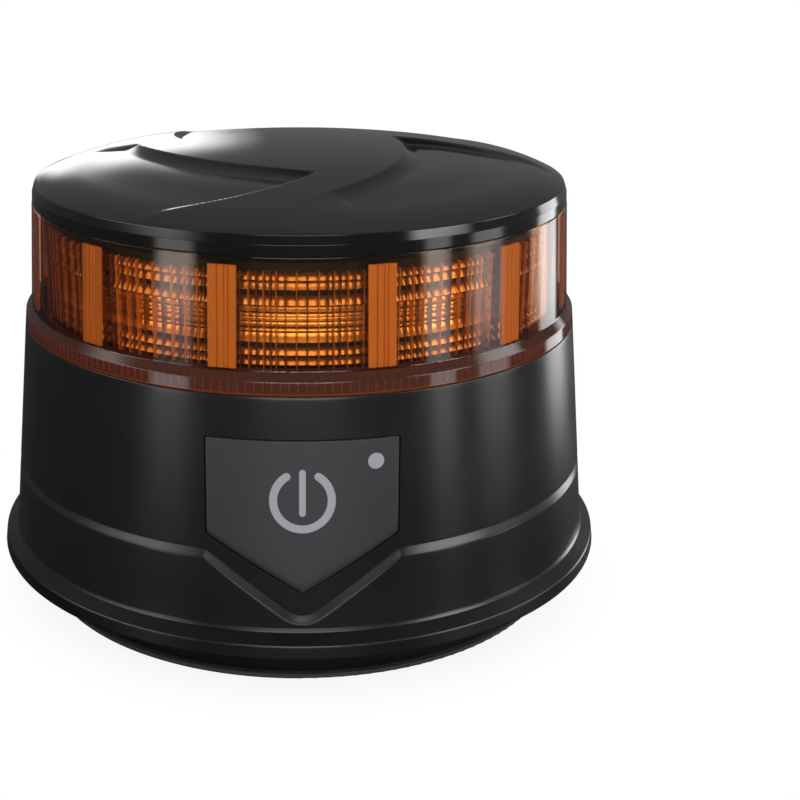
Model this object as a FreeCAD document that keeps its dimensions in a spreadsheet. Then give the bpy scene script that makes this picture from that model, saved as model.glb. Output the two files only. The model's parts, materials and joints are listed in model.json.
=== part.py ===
import FreeCAD, Part
import os
import re

import Sketcher
from FreeCAD import Placement, Rotation, Vector

# Magnetic warning light. The origin is at the middle of the pad's underside.
# +Z is up and the button faces -Y.

# Driving dimensions in millimetres and degrees, kept in the document's spreadsheet
DIMENSIONS = {
    # Pad and base, from the ground up
    "pad_radius": 62.9,
    "pad_thick": 1.2,
    "pad_round": 0.4,
    "neck_radius": 61.5,
    "neck_top": 7.4,
    "flange_radius": 73.0,
    "flange_low": 10.2,
    "flange_upper_radius": 72.6,
    "flange_high": 13.2,
    "flange_round": 0.5,
    "foot_radius": 69.8,
    "foot_height": 15.2,
    "floor_top": 3.6,
    "well_radius": 58.9,
    "well_high": 10.0,
    "spigot_radius": 66.5,
    "spigot_inner": 64.2,
    "spigot_root": 12.6,
    "spigot_top": 19.2,
    "foot_seal_inner": 67.6,
    "foot_seal_outer": 68.8,
    "foot_seal_low": 14.5,
    # Pot magnets
    "magnet_circle": 36.0,
    "magnet_boss_radius": 12.2,
    "magnet_boss_top": 8.2,
    "cup_radius": 10.0,
    "cup_gap": 0.15,
    "cup_top": 6.2,
    "cup_bore": 8.6,
    "magnet_radius": 8.4,
    "magnet_top": 4.2,
    # Screws
    "screw_radius": 1.45,
    "screw_bore": 1.5,
    "screw_clear": 1.7,
    "screw_head_radius": 2.8,
    "screw_head_high": 2.2,
    "drive_radius": 1.4,
    "drive_deep": 1.2,
    "small_screw_radius": 1.2,
    "small_screw_bore": 1.25,
    "small_screw_clear": 1.4,
    "small_head_radius": 2.6,
    "small_head_high": 1.6,
    "base_screw_circle": 57.0,
    "base_screw_top": 31.0,
    "base_column_radius": 4.5,
    "head_pocket_radius": 3.1,
    "head_pocket_top": 4.4,
    "base_boss_low": 19.3,
    "base_boss_top": 34.0,
    "base_boss_reach": 67.3,
    "base_bore_top": 33.0,
    # Housing
    "shoulder_radius": 65.0,
    "shoulder_height": 65.4,
    "wall_thick": 2.6,
    "deck_thick": 2.8,
    "deck_bore": 9.0,
    "groove_height": 31.4,
    "groove_wide": 2.2,
    "groove_deep": 0.8,
    "groove_turn": 20.5,
    "groove_slope": 36.0,
    "groove_tip_round": 5.6,
    # Button
    "button_half": 19.75,
    "button_top": 56.3,
    "button_side_low": 35.91,
    "button_slope": 31.0,
    "button_gap": 0.3,
    "button_corner": 0.6,
    "button_tip_round": 1.0,
    "button_proud_low": 1.2,
    "button_proud_high": 0.2,
    "button_edge_round": 0.4,
    "button_back": 57.3,
    "button_lip": 1.4,
    "button_lip_thick": 1.5,
    "symbol_height": 44.0,
    "symbol_radius": 6.8,
    "symbol_stroke": 1.65,
    "symbol_opening": 33.0,
    "symbol_bar_wide": 1.35,
    "symbol_bar_low": 40.7,
    "symbol_bar_high": 50.5,
    "symbol_deep": 0.4,
    "pipe_across": 15.0,
    "pipe_height": 51.7,
    "pipe_radius": 1.65,
    # Control board behind the button
    "board_half": 30.0,
    "board_low": 25.0,
    "board_high": 57.0,
    "board_front": 52.0,
    "board_thick": 1.6,
    "board_hole": 1.5,
    "board_screw_across": 27.0,
    "board_screw_low": 28.0,
    "board_screw_high": 54.0,
    "board_screw_reach": 4.0,
    "board_bore_deep": 5.0,
    "board_boss_radius": 3.0,
    "board_boss_low_front": 61.0,
    "board_boss_high_front": 58.0,
    "switch_half": 6.0,
    "switch_front": 56.0,
    "switch_bore_back": 52.4,
    "plunger_radius": 1.7,
    "plunger_bore": 1.75,
    "plunger_back": 53.5,
    "plunger_gap": 0.05,
    "status_led_half": 1.5,
    "status_led_deep": 1.5,
    "processor_across": -8.0,
    "processor_height": 44.0,
    "processor_side": 8.0,
    "processor_deep": 1.2,
    "coil_across": -20.0,
    "coil_height": 44.0,
    "coil_side": 9.0,
    "coil_deep": 4.2,
    "capacitor_across": -18.0,
    "capacitor_height": 34.0,
    "capacitor_radius": 3.2,
    "capacitor_deep": 7.0,
    "lamp_plug_height": 52.0,
    "battery_plug_across": -14.0,
    "battery_plug_height": 28.0,
    "plug_wide": 8.0,
    "plug_tall": 5.0,
    "plug_deep": 3.4,
    "radio_left": 6.0,
    "radio_right": 22.0,
    "radio_low": 26.0,
    "radio_high": 40.0,
    "radio_header": 2.0,
    "radio_thick": 1.2,
    "radio_can_edge": 3.0,
    "radio_can_deep": 2.0,
    "antenna_across": 18.0,
    "antenna_radius": 2.0,
    "antenna_top": 60.0,
    # Battery
    "tray_half_long": 35.0,
    "tray_half_wide": 30.5,
    "tray_low": 8.3,
    "tray_floor": 10.0,
    "tray_high": 20.0,
    "tray_wall": 1.6,
    "tray_post_across": 44.0,
    "tray_post_radius": 4.0,
    "tray_post_top": 9.95,
    "tray_tab_half": 5.0,
    "tray_tab_end": 48.0,
    "tray_tab_thick": 2.0,
    "tray_screw_low": 5.0,
    "cell_radius": 9.2,
    "cell_half_long": 32.0,
    "cell_pitch": 19.0,
    "cell_lift": 0.05,
    "terminal_radius": 3.0,
    "terminal_long": 1.0,
    "strap_half": 9.0,
    "strap_thick": 1.4,
    "strap_gap": 0.3,
    "strap_low": 12.0,
    "wire_radius": 0.8,
    "wire_across": 1.2,
    "battery_wire_height": 16.0,
    "battery_wire_bend": 6.0,
    "battery_wire_run": 4.5,
    "lamp_wire_bend": 8.0,
    "lamp_wire_top": 72.0,
    # Charging connector and its cover, at the back
    "port_height": 44.0,
    "block_half": 14.0,
    "block_low": 36.0,
    "block_high": 55.0,
    "block_back": 58.0,
    "block_skin": 1.0,
    "recess_half": 12.0,
    "recess_low": 38.0,
    "recess_high": 53.2,
    "recess_floor": 63.9,
    "mouth_half": 6.5,
    "mouth_low": 40.25,
    "mouth_high": 47.75,
    "mouth_floor": 62.7,
    "socket_half": 4.5,
    "socket_tall": 3.4,
    "socket_wall": 0.3,
    "socket_gap": 0.2,
    "socket_front": 62.5,
    "socket_back": 50.2,
    "tongue_half": 3.3,
    "tongue_thick": 0.7,
    "tongue_front": 61.5,
    "charge_board_half": 9.0,
    "charge_board_back": 44.0,
    "charge_board_gap": 0.1,
    "shelf_deep": 8.0,
    "shelf_thick": 2.7,
    "flap_half": 11.6,
    "flap_low": 38.6,
    "flap_high": 49.9,
    "flap_floor": 64.2,
    "stopper_half": 6.1,
    "stopper_low": 41.1,
    "stopper_high": 47.3,
    "stopper_back": 62.8,
    "anchor_low": 50.2,
    "anchor_high": 53.0,
    # Lamp
    "sink_apothem": 40.0,
    "sink_bore": 33.0,
    "sink_top": 88.0,
    "sink_screw_circle": 36.5,
    "sink_screw_top": 73.0,
    "led_board_wide": 19.0,
    "led_board_low": 67.0,
    "led_board_high": 87.0,
    "led_board_thick": 1.2,
    "led_side": 3.5,
    "led_deep": 0.9,
    "led_row_low": 73.0,
    "led_row_high": 81.0,
    "reflector_inner": 42.6,
    "reflector_outer": 59.6,
    "reflector_thick": 1.2,
    "upper_reflector_outer": 58.8,
    "upper_reflector_low": 90.4,
    "upper_reflector_thick": 1.0,
    "optic_inner": 57.0,
    "optic_outer": 59.2,
    "optic_post_outer": 59.6,
    "optic_post_wide": 5.9,
    "grommet_flange": 11.0,
    "grommet_flange_thick": 1.0,
    "grommet_bore": 3.0,
    "grommet_gap": 0.1,
    # Lens
    "lens_step_radius": 64.7,
    "lens_step": 68.3,
    "lens_low_radius": 63.3,
    "lens_low": 70.2,
    "lens_top_radius": 62.0,
    "lens_top": 93.3,
    "lens_inner_low": 61.2,
    "lens_inner_top": 60.0,
    "lens_seal_inner": 62.5,
    "lens_seal_outer": 63.9,
    "lens_seal_top": 66.2,
    # Cap
    "cap_radius": 61.9,
    "cap_skirt_radius": 61.8,
    "cap_skirt_top": 95.7,
    "dome_rim_radius": 61.2,
    "dome_rim": 97.6,
    "dome_blend_radius": 50.0,
    "dome_blend": 101.128,
    "dome_apex": 104.9,
    "dome_shoulder_round": 38.16,
    "dome_edge_round": 0.3,
    "dome_inner_apex": 100.6,
    "cap_spigot_radius": 59.7,
    "cap_spigot_inner": 57.6,
    "cap_spigot_low": 91.6,
    "cap_inner_rim": 96.0,
    "cap_seal_inner": 60.4,
    "cap_seal_outer": 61.2,
    "cap_seal_deep": 0.8,
    "tower_circle": 28.0,
    "tower_radius": 4.0,
    "tower_low": 65.5,
    "tower_top": 101.0,
    "tower_bore_deep": 14.0,
    "cap_screw_top": 78.0,
    # Swirl of scoops in the dome. Angles are clockwise from a scoop's tip, seen from above
    "scoop_tip_radius": 28.3,
    "scoop_first_angle": 38.7,
    "scoop_lead_radius": 58.0,
    "scoop_lead_angle": 40.2,
    "scoop_lead_round": 49.8,
    "scoop_tail_radius": 41.3,
    "scoop_tail_angle": 119.5,
    "scoop_tail_round": 58.1,
    "scoop_outer_angle": 95.0,
    "scoop_tail_out_angle": 154.0,
    "scoop_ball_radius": 515.7,
    "scoop_ball_shift": 6.87,
    "scoop_ball_angle": -73.4,
    "scoop_ball_top": 102.295,
}

FULL_TURN = 360
RIGHT_ANGLE = 90
MAGNET_COUNT = 6
MAGNET_FIRST_ANGLE = 30
SCREW_COUNT = 4
CELL_COUNT = 3
WINDOW_COUNT = 12
SCOOP_COUNT = 3
DRIVE_SIDES = 6
DIAGONAL = 45
TOLERANCE = 0.01
NEAR_ZERO = 1e-9

# Recurring sizes, as texts of the sheet's words
WALL_TAPER = "((foot_radius - shoulder_radius) / (shoulder_height - foot_height))"
DECK_LOW = "(shoulder_height - deck_thick)"
BOARD_BACK = "(board_front - board_thick)"
BUTTON_TIP = "(button_side_low - button_half * tan(button_slope))"
CELL_HEIGHT = "(tray_floor + cell_radius + cell_lift)"
CHARGE_BOARD_TOP = "(port_height - socket_tall / 2)"
CHARGE_BOARD_LOW = f"({CHARGE_BOARD_TOP} - board_thick)"


def wall_radius(height):
    """Outer radius of the housing's wall at a height, as a text."""
    return f"(foot_radius - ({height} - foot_height) * {WALL_TAPER})"


def bind(text):
    """The text with each of the sheet's words given as a reference to its cell."""
    return re.sub(r"[a-z_]+", lambda m: f"Dimensions.{m[0]}" if m[0] in DIMENSIONS else m[0], text)


class Workshop:
    """The document, its sheet of dimensions and the operations that the pieces are made with."""

    def __init__(self):
        self.doc = FreeCAD.newDocument("WarningLight")
        self.sheet = self.doc.addObject("Spreadsheet::Sheet", "Dimensions")
        for row, (alias, size) in enumerate(DIMENSIONS.items(), start=1):
            self.sheet.set(f"A{row}", alias)
            self.sheet.set(f"B{row}", str(size))
            self.sheet.setAlias(f"B{row}", alias)
        self.doc.recompute()

    def value(self, text):
        """The number that a text of the sheet's words stands for."""
        return float(self.sheet.evalExpression(bind(text)))

    def size(self, thing, **texts):
        """Binds properties of an object to texts of the sheet's words."""
        for name, text in texts.items():
            thing.setExpression(name, bind(text))

    def place(self, thing, x, y, z, turn=Rotation()):
        """Turns an object and binds its position."""
        thing.Placement = Placement(Vector(), turn)
        for axis, text in zip("xyz", (x, y, z)):
            thing.setExpression(f"Placement.Base.{axis}", bind(text))

    # Solids

    def box(self, name, x, y, z):
        """Box between pairs of texts along each axis."""
        made = self.doc.addObject("Part::Box", name)
        self.size(
            made,
            Length=f"({x[1]}) - ({x[0]})",
            Width=f"({y[1]}) - ({y[0]})",
            Height=f"({z[1]}) - ({z[0]})",
        )
        self.place(made, x[0], y[0], z[0])
        return made

    def cylinder(self, name, radius, low, high, x="0", y="0"):
        """Upright cylinder between two heights."""
        made = self.doc.addObject("Part::Cylinder", name)
        self.size(made, Radius=radius, Height=f"({high}) - ({low})")
        self.place(made, x, y, low)
        return made

    def forward_cylinder(self, name, radius, back, front, x, z, turn=Rotation()):
        """Cylinder along -Y, between two distances in front of the middle."""
        made = self.doc.addObject("Part::Cylinder", name)
        self.size(made, Radius=radius, Height=f"({front}) - ({back})")
        self.place(made, x, f"-({back})", z, Rotation(Vector(1, 0, 0), RIGHT_ANGLE) * turn)
        return made

    def side_cylinder(self, name, radius, start, end, y, z):
        """Cylinder along +X between two places."""
        made = self.doc.addObject("Part::Cylinder", name)
        self.size(made, Radius=radius, Height=f"({end}) - ({start})")
        self.place(made, start, y, z, Rotation(Vector(0, 1, 0), RIGHT_ANGLE))
        return made

    def cone(self, name, low_radius, high_radius, low, high):
        """Upright cone between two heights."""
        made = self.doc.addObject("Part::Cone", name)
        self.size(made, Radius1=low_radius, Radius2=high_radius, Height=f"({high}) - ({low})")
        self.place(made, "0", "0", low)
        return made

    def bend(self, name, bend_radius, tube_radius, x, y, z, quarter):
        """A quarter of a bent wire in the YZ plane, turned about X by a number of right angles."""
        made = self.doc.addObject("Part::Torus", name)
        self.size(made, Radius1=bend_radius, Radius2=tube_radius)
        made.Angle3 = RIGHT_ANGLE
        upright = Rotation(Vector(0, 1, 0), RIGHT_ANGLE)
        about_x = Rotation(Vector(1, 0, 0), RIGHT_ANGLE * quarter)
        self.place(made, x, y, z, about_x * upright)
        return made

    # Combinations

    def cut(self, name, base, tool):
        """What is left of base outside tool."""
        made = self.doc.addObject("Part::Cut", name)
        made.Base = base
        made.Tool = tool
        self.doc.recompute()
        if base.Shape.Volume - made.Shape.Volume < TOLERANCE:
            raise RuntimeError(f"{name}: the tool removes nothing")
        return made

    def common(self, name, first, second):
        """What two solids share."""
        made = self.doc.addObject("Part::Common", name)
        made.Base = first
        made.Tool = second
        self.doc.recompute()
        return made

    def fuse(self, name, things):
        """Several solids joined into one."""
        made = self.doc.addObject("Part::MultiFuse", name)
        made.Shapes = things
        self.doc.recompute()
        return made

    def group(self, name, things):
        """Several solids kept apart in one piece."""
        made = self.doc.addObject("Part::Compound", name)
        made.Links = things
        self.doc.recompute()
        return made

    # Sketches and the features that use them

    def body(self, name):
        """A new empty body."""
        return self.doc.addObject("PartDesign::Body", name)

    def sketch(self, body, name, plane, offset="0"):
        """Sketch on one of the body's own planes, moved along that plane's normal."""
        made = body.newObject("Sketcher::SketchObject", name)
        support = [feature for feature in body.Origin.OriginFeatures if feature.Role == plane][0]
        made.AttachmentSupport = [(support, "")]
        made.MapMode = "FlatFace"
        made.setExpression("AttachmentOffset.Base.z", bind(offset))
        return made

    def pin(self, sketch, geometry, point, x, y):
        """Holds a point of the sketch at a place given by two texts."""
        for kind, axis, text in (("DistanceX", -2, x), ("DistanceY", -1, y)):
            number = self.value(text)
            if abs(number) < NEAR_ZERO:
                sketch.addConstraint(Sketcher.Constraint("PointOnObject", geometry, point, axis))
            else:
                held = sketch.addConstraint(Sketcher.Constraint(kind, -1, 1, geometry, point, number))
                sketch.setExpression(f"Constraints[{held}]", bind(text))

    def hold_radius(self, sketch, geometry, text):
        """Binds the radius of a circle or an arc of the sketch."""
        held = sketch.addConstraint(Sketcher.Constraint("Radius", geometry, self.value(text)))
        sketch.setExpression(f"Constraints[{held}]", bind(text))

    def outline(self, sketch, points):
        """Closed outline through (x, y) points. A point with a radius and a side starts an arc.

        The side is where the arc's centre is: +1 for left and -1 for right of the way along the outline.
        """
        places = [Vector(self.value(point[0]), self.value(point[1]), 0) for point in points]
        ends = []
        for index, point in enumerate(points):
            start = places[index]
            end = places[(index + 1) % len(points)]
            if len(point) == 2:
                sketch.addGeometry(Part.LineSegment(start, end))
                ends.append((1, 2))
                continue
            radius, side = self.value(point[2]), point[3]
            chord = end - start
            left = Vector(-chord.y, chord.x, 0).normalize()
            reach = (radius**2 - (chord.Length / 2) ** 2) ** 0.5
            centre = start + chord * 0.5 + left * (side * reach)
            first, last = (start, end) if side > 0 else (end, start)
            circle = Part.Circle(centre, Vector(0, 0, 1), radius)
            sketch.addGeometry(Part.ArcOfCircle(circle, circle.parameter(first), circle.parameter(last)))
            ends.append((1, 2) if side > 0 else (2, 1))
        for index in range(len(points)):
            after = (index + 1) % len(points)
            joined = (index, ends[index][1], after, ends[after][0])
            sketch.addConstraint(Sketcher.Constraint("Coincident", *joined))
        for index, point in enumerate(points):
            self.pin(sketch, index, ends[index][0], point[0], point[1])
            if len(point) > 2:
                self.hold_radius(sketch, index, point[2])

    def circles(self, sketch, radius, centres):
        """Circles of one radius at (x, y) places."""
        for x, y in centres:
            at = Vector(self.value(x), self.value(y), 0)
            index = sketch.addGeometry(Part.Circle(at, Vector(0, 0, 1), self.value(radius)))
            self.pin(sketch, index, 3, x, y)
            self.hold_radius(sketch, index, radius)

    def turned(self, name, points):
        """Body turned about Z from a closed outline of (radius, height) points."""
        made = self.body(name)
        sketch = self.sketch(made, f"{name}_outline", "XZ_Plane")
        self.outline(sketch, points)
        turn = made.newObject("PartDesign::Revolution", f"{name}_turn")
        turn.Profile = sketch
        turn.ReferenceAxis = (sketch, ["V_Axis"])
        turn.Angle = FULL_TURN
        self.doc.recompute()
        return made

    def pad(self, body, sketch, length):
        """Adds the sketch's area along its normal."""
        made = body.newObject("PartDesign::Pad", f"{sketch.Name}_pad")
        made.Profile = sketch
        self.size(made, Length=length)
        self.doc.recompute()
        return made

    def pocket(self, body, sketch, length, along=False):
        """Removes the sketch's area against its normal, or along it."""
        before = body.Shape.Volume
        made = body.newObject("PartDesign::Pocket", f"{sketch.Name}_pocket")
        made.Profile = sketch
        made.Reversed = along
        self.size(made, Length=length)
        self.doc.recompute()
        if before - body.Shape.Volume < TOLERANCE:
            raise RuntimeError(f"{made.Name}: the pocket removes nothing")
        return made

    def round(self, body, name, radius, wanted):
        """Rounds the edges of a body that a test picks out."""
        edges = [f"Edge{n}" for n, edge in enumerate(body.Shape.Edges, start=1) if wanted(edge)]
        made = body.newObject("PartDesign::Fillet", name)
        made.Base = (made.BaseFeature, edges)
        self.size(made, Radius=radius)
        self.doc.recompute()
        return made

    def hoop(self, radius, height):
        """Test for a full round edge about Z at a radius and height."""
        wide, high = self.value(radius), self.value(height)

        def wanted(edge):
            box = edge.BoundBox
            same_height = abs(box.ZMin - high) < TOLERANCE and abs(box.ZMax - high) < TOLERANCE
            return same_height and abs(box.XMax - wide) < TOLERANCE and abs(box.XMin + wide) < TOLERANCE

        return wanted

    def along_y(self, x, z):
        """Test for a straight edge along Y at a place in the XZ plane."""
        across, high = self.value(x), self.value(z)

        def wanted(edge):
            box = edge.BoundBox
            straight = box.XLength < TOLERANCE and box.ZLength < TOLERANCE
            return straight and abs(box.XMin - across) < TOLERANCE and abs(box.ZMin - high) < TOLERANCE

        return wanted


def around(circle, count, first=0):
    """Places spaced evenly on a circle, as (x, y) texts."""
    angles = [first + FULL_TURN / count * index for index in range(count)]
    return [(f"({circle}) * cos({angle})", f"({circle}) * sin({angle})") for angle in angles]


def base_pad(shop):
    """Rubber disc that the light stands on."""
    pad = shop.turned(
        "base_pad",
        [("0", "0"), ("pad_radius", "0"), ("pad_radius", "pad_thick"), ("0", "pad_thick")],
    )
    shop.round(pad, "base_pad_round", "pad_round", shop.hoop("pad_radius", "0"))
    return pad


def base(shop):
    """Lower moulding with floor, neck, flange and the ring that centres the housing."""
    made = shop.turned(
        "base",
        [
            ("0", "pad_thick"),
            ("neck_radius", "pad_thick"),
            ("neck_radius", "neck_top"),
            ("flange_radius", "flange_low"),
            ("flange_upper_radius", "flange_high"),
            ("foot_radius", "foot_height"),
            ("foot_seal_outer", "foot_height"),
            ("foot_seal_outer", "foot_seal_low"),
            ("foot_seal_inner", "foot_seal_low"),
            ("foot_seal_inner", "foot_height"),
            ("spigot_radius", "foot_height"),
            ("spigot_radius", "spigot_top"),
            ("spigot_inner", "spigot_top"),
            ("spigot_inner", "spigot_root"),
            ("well_radius", "well_high"),
            ("well_radius", "floor_top"),
            ("0", "floor_top"),
        ],
    )
    shop.round(made, "flange_edge", "flange_round", shop.hoop("flange_radius", "flange_low"))
    shop.round(made, "flange_shoulder", "flange_round", shop.hoop("flange_upper_radius", "flange_high"))

    bosses = shop.sketch(made, "magnet_bosses", "XY_Plane", "floor_top")
    shop.circles(bosses, "magnet_boss_radius", around("magnet_circle", MAGNET_COUNT, MAGNET_FIRST_ANGLE))
    shop.pad(made, bosses, "magnet_boss_top - floor_top")

    columns = shop.sketch(made, "base_columns", "XY_Plane", "floor_top")
    shop.circles(columns, "base_column_radius", around("base_screw_circle", SCREW_COUNT, DIAGONAL))
    shop.pad(made, columns, "spigot_top - floor_top")

    posts = shop.sketch(made, "tray_posts", "XY_Plane", "floor_top")
    shop.circles(posts, "tray_post_radius", [("tray_post_across", "0"), ("-tray_post_across", "0")])
    shop.pad(made, posts, "tray_post_top - floor_top")

    cups = shop.sketch(made, "magnet_pockets", "XY_Plane", "pad_thick")
    shop.circles(cups, "cup_radius + cup_gap", around("magnet_circle", MAGNET_COUNT, MAGNET_FIRST_ANGLE))
    shop.pocket(made, cups, "cup_top - pad_thick", along=True)

    holes = shop.sketch(made, "base_screw_holes", "XY_Plane", "pad_thick")
    shop.circles(holes, "screw_clear", around("base_screw_circle", SCREW_COUNT, DIAGONAL))
    shop.pocket(made, holes, "spigot_top", along=True)

    heads = shop.sketch(made, "base_screw_pockets", "XY_Plane", "pad_thick")
    shop.circles(heads, "head_pocket_radius", around("base_screw_circle", SCREW_COUNT, DIAGONAL))
    shop.pocket(made, heads, "head_pocket_top - pad_thick", along=True)

    tray_holes = shop.sketch(made, "tray_post_holes", "XY_Plane", "tray_post_top")
    shop.circles(tray_holes, "small_screw_bore", [("tray_post_across", "0"), ("-tray_post_across", "0")])
    shop.pocket(made, tray_holes, "tray_post_top - floor_top")
    return made


def magnets(shop):
    """Steel cups open towards the pad, and the magnets in them."""
    cups, discs = [], []
    for number, (x, y) in enumerate(around("magnet_circle", MAGNET_COUNT, MAGNET_FIRST_ANGLE), start=1):
        blank = shop.cylinder(f"cup_blank_{number}", "cup_radius", "pad_thick", "cup_top", x, y)
        bore = shop.cylinder(f"cup_bore_{number}", "cup_bore", "pad_thick", "magnet_top", x, y)
        cups.append(shop.cut(f"cup_{number}", blank, bore))
        discs.append(shop.cylinder(f"magnet_{number}", "magnet_radius", "pad_thick", "magnet_top", x, y))
    return [shop.group("magnet_cups", cups), shop.group("magnets", discs)]


def upright_screws(shop, name, places, radius, head_radius, head_high, seat, tip):
    """Screws that point up, with heads below a seat and a six-sided drive in each head."""
    screws = []
    for number, (x, y) in enumerate(places, start=1):
        head = shop.cylinder(f"{name}_head_{number}", head_radius, f"{seat} - {head_high}", seat, x, y)
        shank = shop.cylinder(f"{name}_shank_{number}", radius, seat, tip, x, y)
        drive = shop.doc.addObject("Part::Prism", f"{name}_drive_{number}")
        drive.Polygon = DRIVE_SIDES
        shop.size(drive, Circumradius="drive_radius", Height="drive_deep")
        shop.place(drive, x, y, f"{seat} - {head_high}")
        whole = shop.fuse(f"{name}_blank_{number}", [head, shank])
        screws.append(shop.cut(f"{name}_{number}", whole, drive))
    return shop.group(name, screws)


def ring(shop, name, inner, outer, low, high):
    """Flat ring."""
    return shop.turned(name, [(inner, low), (outer, low), (outer, high), (inner, high)])


def button_outline(grow):
    """Corners of the button's five sides moved outwards, as (across, height) texts."""
    half = f"(button_half + {grow})"
    top = f"(button_top + {grow})"
    low = f"(button_side_low + ({grow}) * (tan(button_slope) - 1 / cos(button_slope)))"
    tip = f"({BUTTON_TIP} - ({grow}) / cos(button_slope))"
    return [(half, top), (f"-{half}", top), (f"-{half}", low), ("0", tip), (half, low)]


def five_sides(shop, body, name, grow, back, length, cut=False):
    """Adds or removes a bar of the button's outline along -Y, with rounded corners."""
    sketch = shop.sketch(body, name, "XZ_Plane", back)
    corners = button_outline(grow)
    shop.outline(sketch, corners)
    if cut:
        shop.pocket(body, sketch, length, along=True)
    else:
        shop.pad(body, sketch, length)
    tip = corners.pop(3)
    tests = [shop.along_y(x, z) for x, z in corners]
    corner_round = f"button_corner + {grow}"
    tip_round = f"button_tip_round + {grow}"
    shop.round(body, f"{name}_corners", corner_round, lambda edge: any(test(edge) for test in tests))
    shop.round(body, f"{name}_tip", tip_round, shop.along_y(*tip))


def housing_shell(shop):
    """Tapered wall with its deck, screw bosses and the button's window."""
    inner_foot = "foot_radius - wall_thick"
    inner_top = f"{wall_radius(DECK_LOW)} - wall_thick"
    made = shop.turned(
        "housing_shell",
        [
            (inner_foot, "foot_height"),
            ("foot_radius", "foot_height"),
            ("shoulder_radius", "shoulder_height"),
            ("deck_bore", "shoulder_height"),
            ("deck_bore", DECK_LOW),
            (inner_top, DECK_LOW),
        ],
    )
    five_sides(shop, made, "button_window", "button_gap", "0", "flange_radius", cut=True)

    for number, (cosine, sine) in enumerate(around("1", SCREW_COUNT, DIAGONAL), start=1):
        web = shop.sketch(made, f"base_boss_web_{number}", "XY_Plane", "base_boss_low")
        corners = []
        for reach, side in (
            ("base_screw_circle", "-base_column_radius"),
            ("base_boss_reach", "-base_column_radius"),
            ("base_boss_reach", "base_column_radius"),
            ("base_screw_circle", "base_column_radius"),
        ):
            x = f"{reach} * {cosine} - ({side}) * {sine}"
            y = f"{reach} * {sine} + ({side}) * {cosine}"
            corners.append((x, y))
        shop.outline(web, corners)
        shop.pad(made, web, "base_boss_top - base_boss_low")
    bosses = shop.sketch(made, "base_bosses", "XY_Plane", "base_boss_low")
    shop.circles(bosses, "base_column_radius", around("base_screw_circle", SCREW_COUNT, DIAGONAL))
    shop.pad(made, bosses, "base_boss_top - base_boss_low")
    bores = shop.sketch(made, "base_boss_bores", "XY_Plane", "base_boss_low")
    shop.circles(bores, "screw_bore", around("base_screw_circle", SCREW_COUNT, DIAGONAL))
    shop.pocket(made, bores, "base_bore_top - base_boss_low", along=True)

    for row in ("low", "high"):
        places = [(f"{sign}board_screw_across", f"board_screw_{row}") for sign in ("", "-")]
        boss = shop.sketch(made, f"board_bosses_{row}", "XZ_Plane", "board_front")
        shop.circles(boss, "board_boss_radius", places)
        shop.pad(made, boss, f"board_boss_{row}_front - board_front")
        bore = shop.sketch(made, f"board_bores_{row}", "XZ_Plane", "board_front")
        shop.circles(bore, "small_screw_bore", places)
        shop.pocket(made, bore, "board_bore_deep", along=True)

    cap_holes = shop.sketch(made, "cap_screw_holes", "XY_Plane", "shoulder_height")
    shop.circles(cap_holes, "screw_clear", around("tower_circle", SCREW_COUNT, DIAGONAL))
    shop.pocket(made, cap_holes, "deck_thick")
    sink_holes = shop.sketch(made, "sink_screw_holes", "XY_Plane", "shoulder_height")
    shop.circles(sink_holes, "small_screw_clear", around("sink_screw_circle", SCREW_COUNT))
    shop.pocket(made, sink_holes, "deck_thick")
    return made


def groove_tools(shop):
    """The level groove round the housing and its dip under the button."""
    low = "groove_height - groove_wide / 2"
    high = "groove_height + groove_wide / 2"
    dip_low = "groove_height - groove_turn - groove_wide"
    outside = shop.cone(
        "groove_outside",
        f"{wall_radius(dip_low)} + groove_deep",
        f"{wall_radius(high)} + groove_deep",
        dip_low,
        high,
    )
    inside = shop.cone(
        "groove_inside",
        f"{wall_radius(dip_low)} - groove_deep",
        f"{wall_radius(high)} - groove_deep",
        dip_low,
        high,
    )
    skin = shop.cut("groove_skin", outside, inside)

    wide = "2 * flange_radius"
    band = shop.box("groove_band", (f"-{wide}", wide), (f"-{wide}", wide), (low, high))
    front = shop.box("groove_front", ("-groove_turn", "groove_turn"), (f"-{wide}", "0"), (low, high))
    level = shop.common("groove_level", skin, shop.cut("groove_around", band, front))

    dip = shop.body("groove_dip")
    shift = "groove_wide / 2 * tan(groove_slope / 2)"
    lift = "groove_wide / 2 / cos(groove_slope)"
    tip = "groove_height - groove_turn * tan(groove_slope)"
    end = "groove_turn + groove_wide"
    sketch = shop.sketch(dip, "groove_dip_outline", "XZ_Plane")
    shop.outline(
        sketch,
        [
            (end, high),
            (f"groove_turn - {shift}", high),
            ("0", f"{tip} + {lift}"),
            (f"-(groove_turn - {shift})", high),
            (f"-({end})", high),
            (f"-({end})", low),
            (f"-(groove_turn + {shift})", low),
            ("0", f"{tip} - {lift}"),
            (f"groove_turn + {shift}", low),
            (end, low),
        ],
    )
    shop.pad(dip, sketch, "2 * flange_radius")
    for side, sign in (("upper", "+"), ("lower", "-")):
        radius = f"groove_tip_round - ({sign} groove_wide / 2)"
        shop.round(dip, f"groove_tip_{side}", radius, shop.along_y("0", f"{tip} {sign} {lift}"))
    return [level, shop.common("groove_dipped", skin, dip)]


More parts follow.
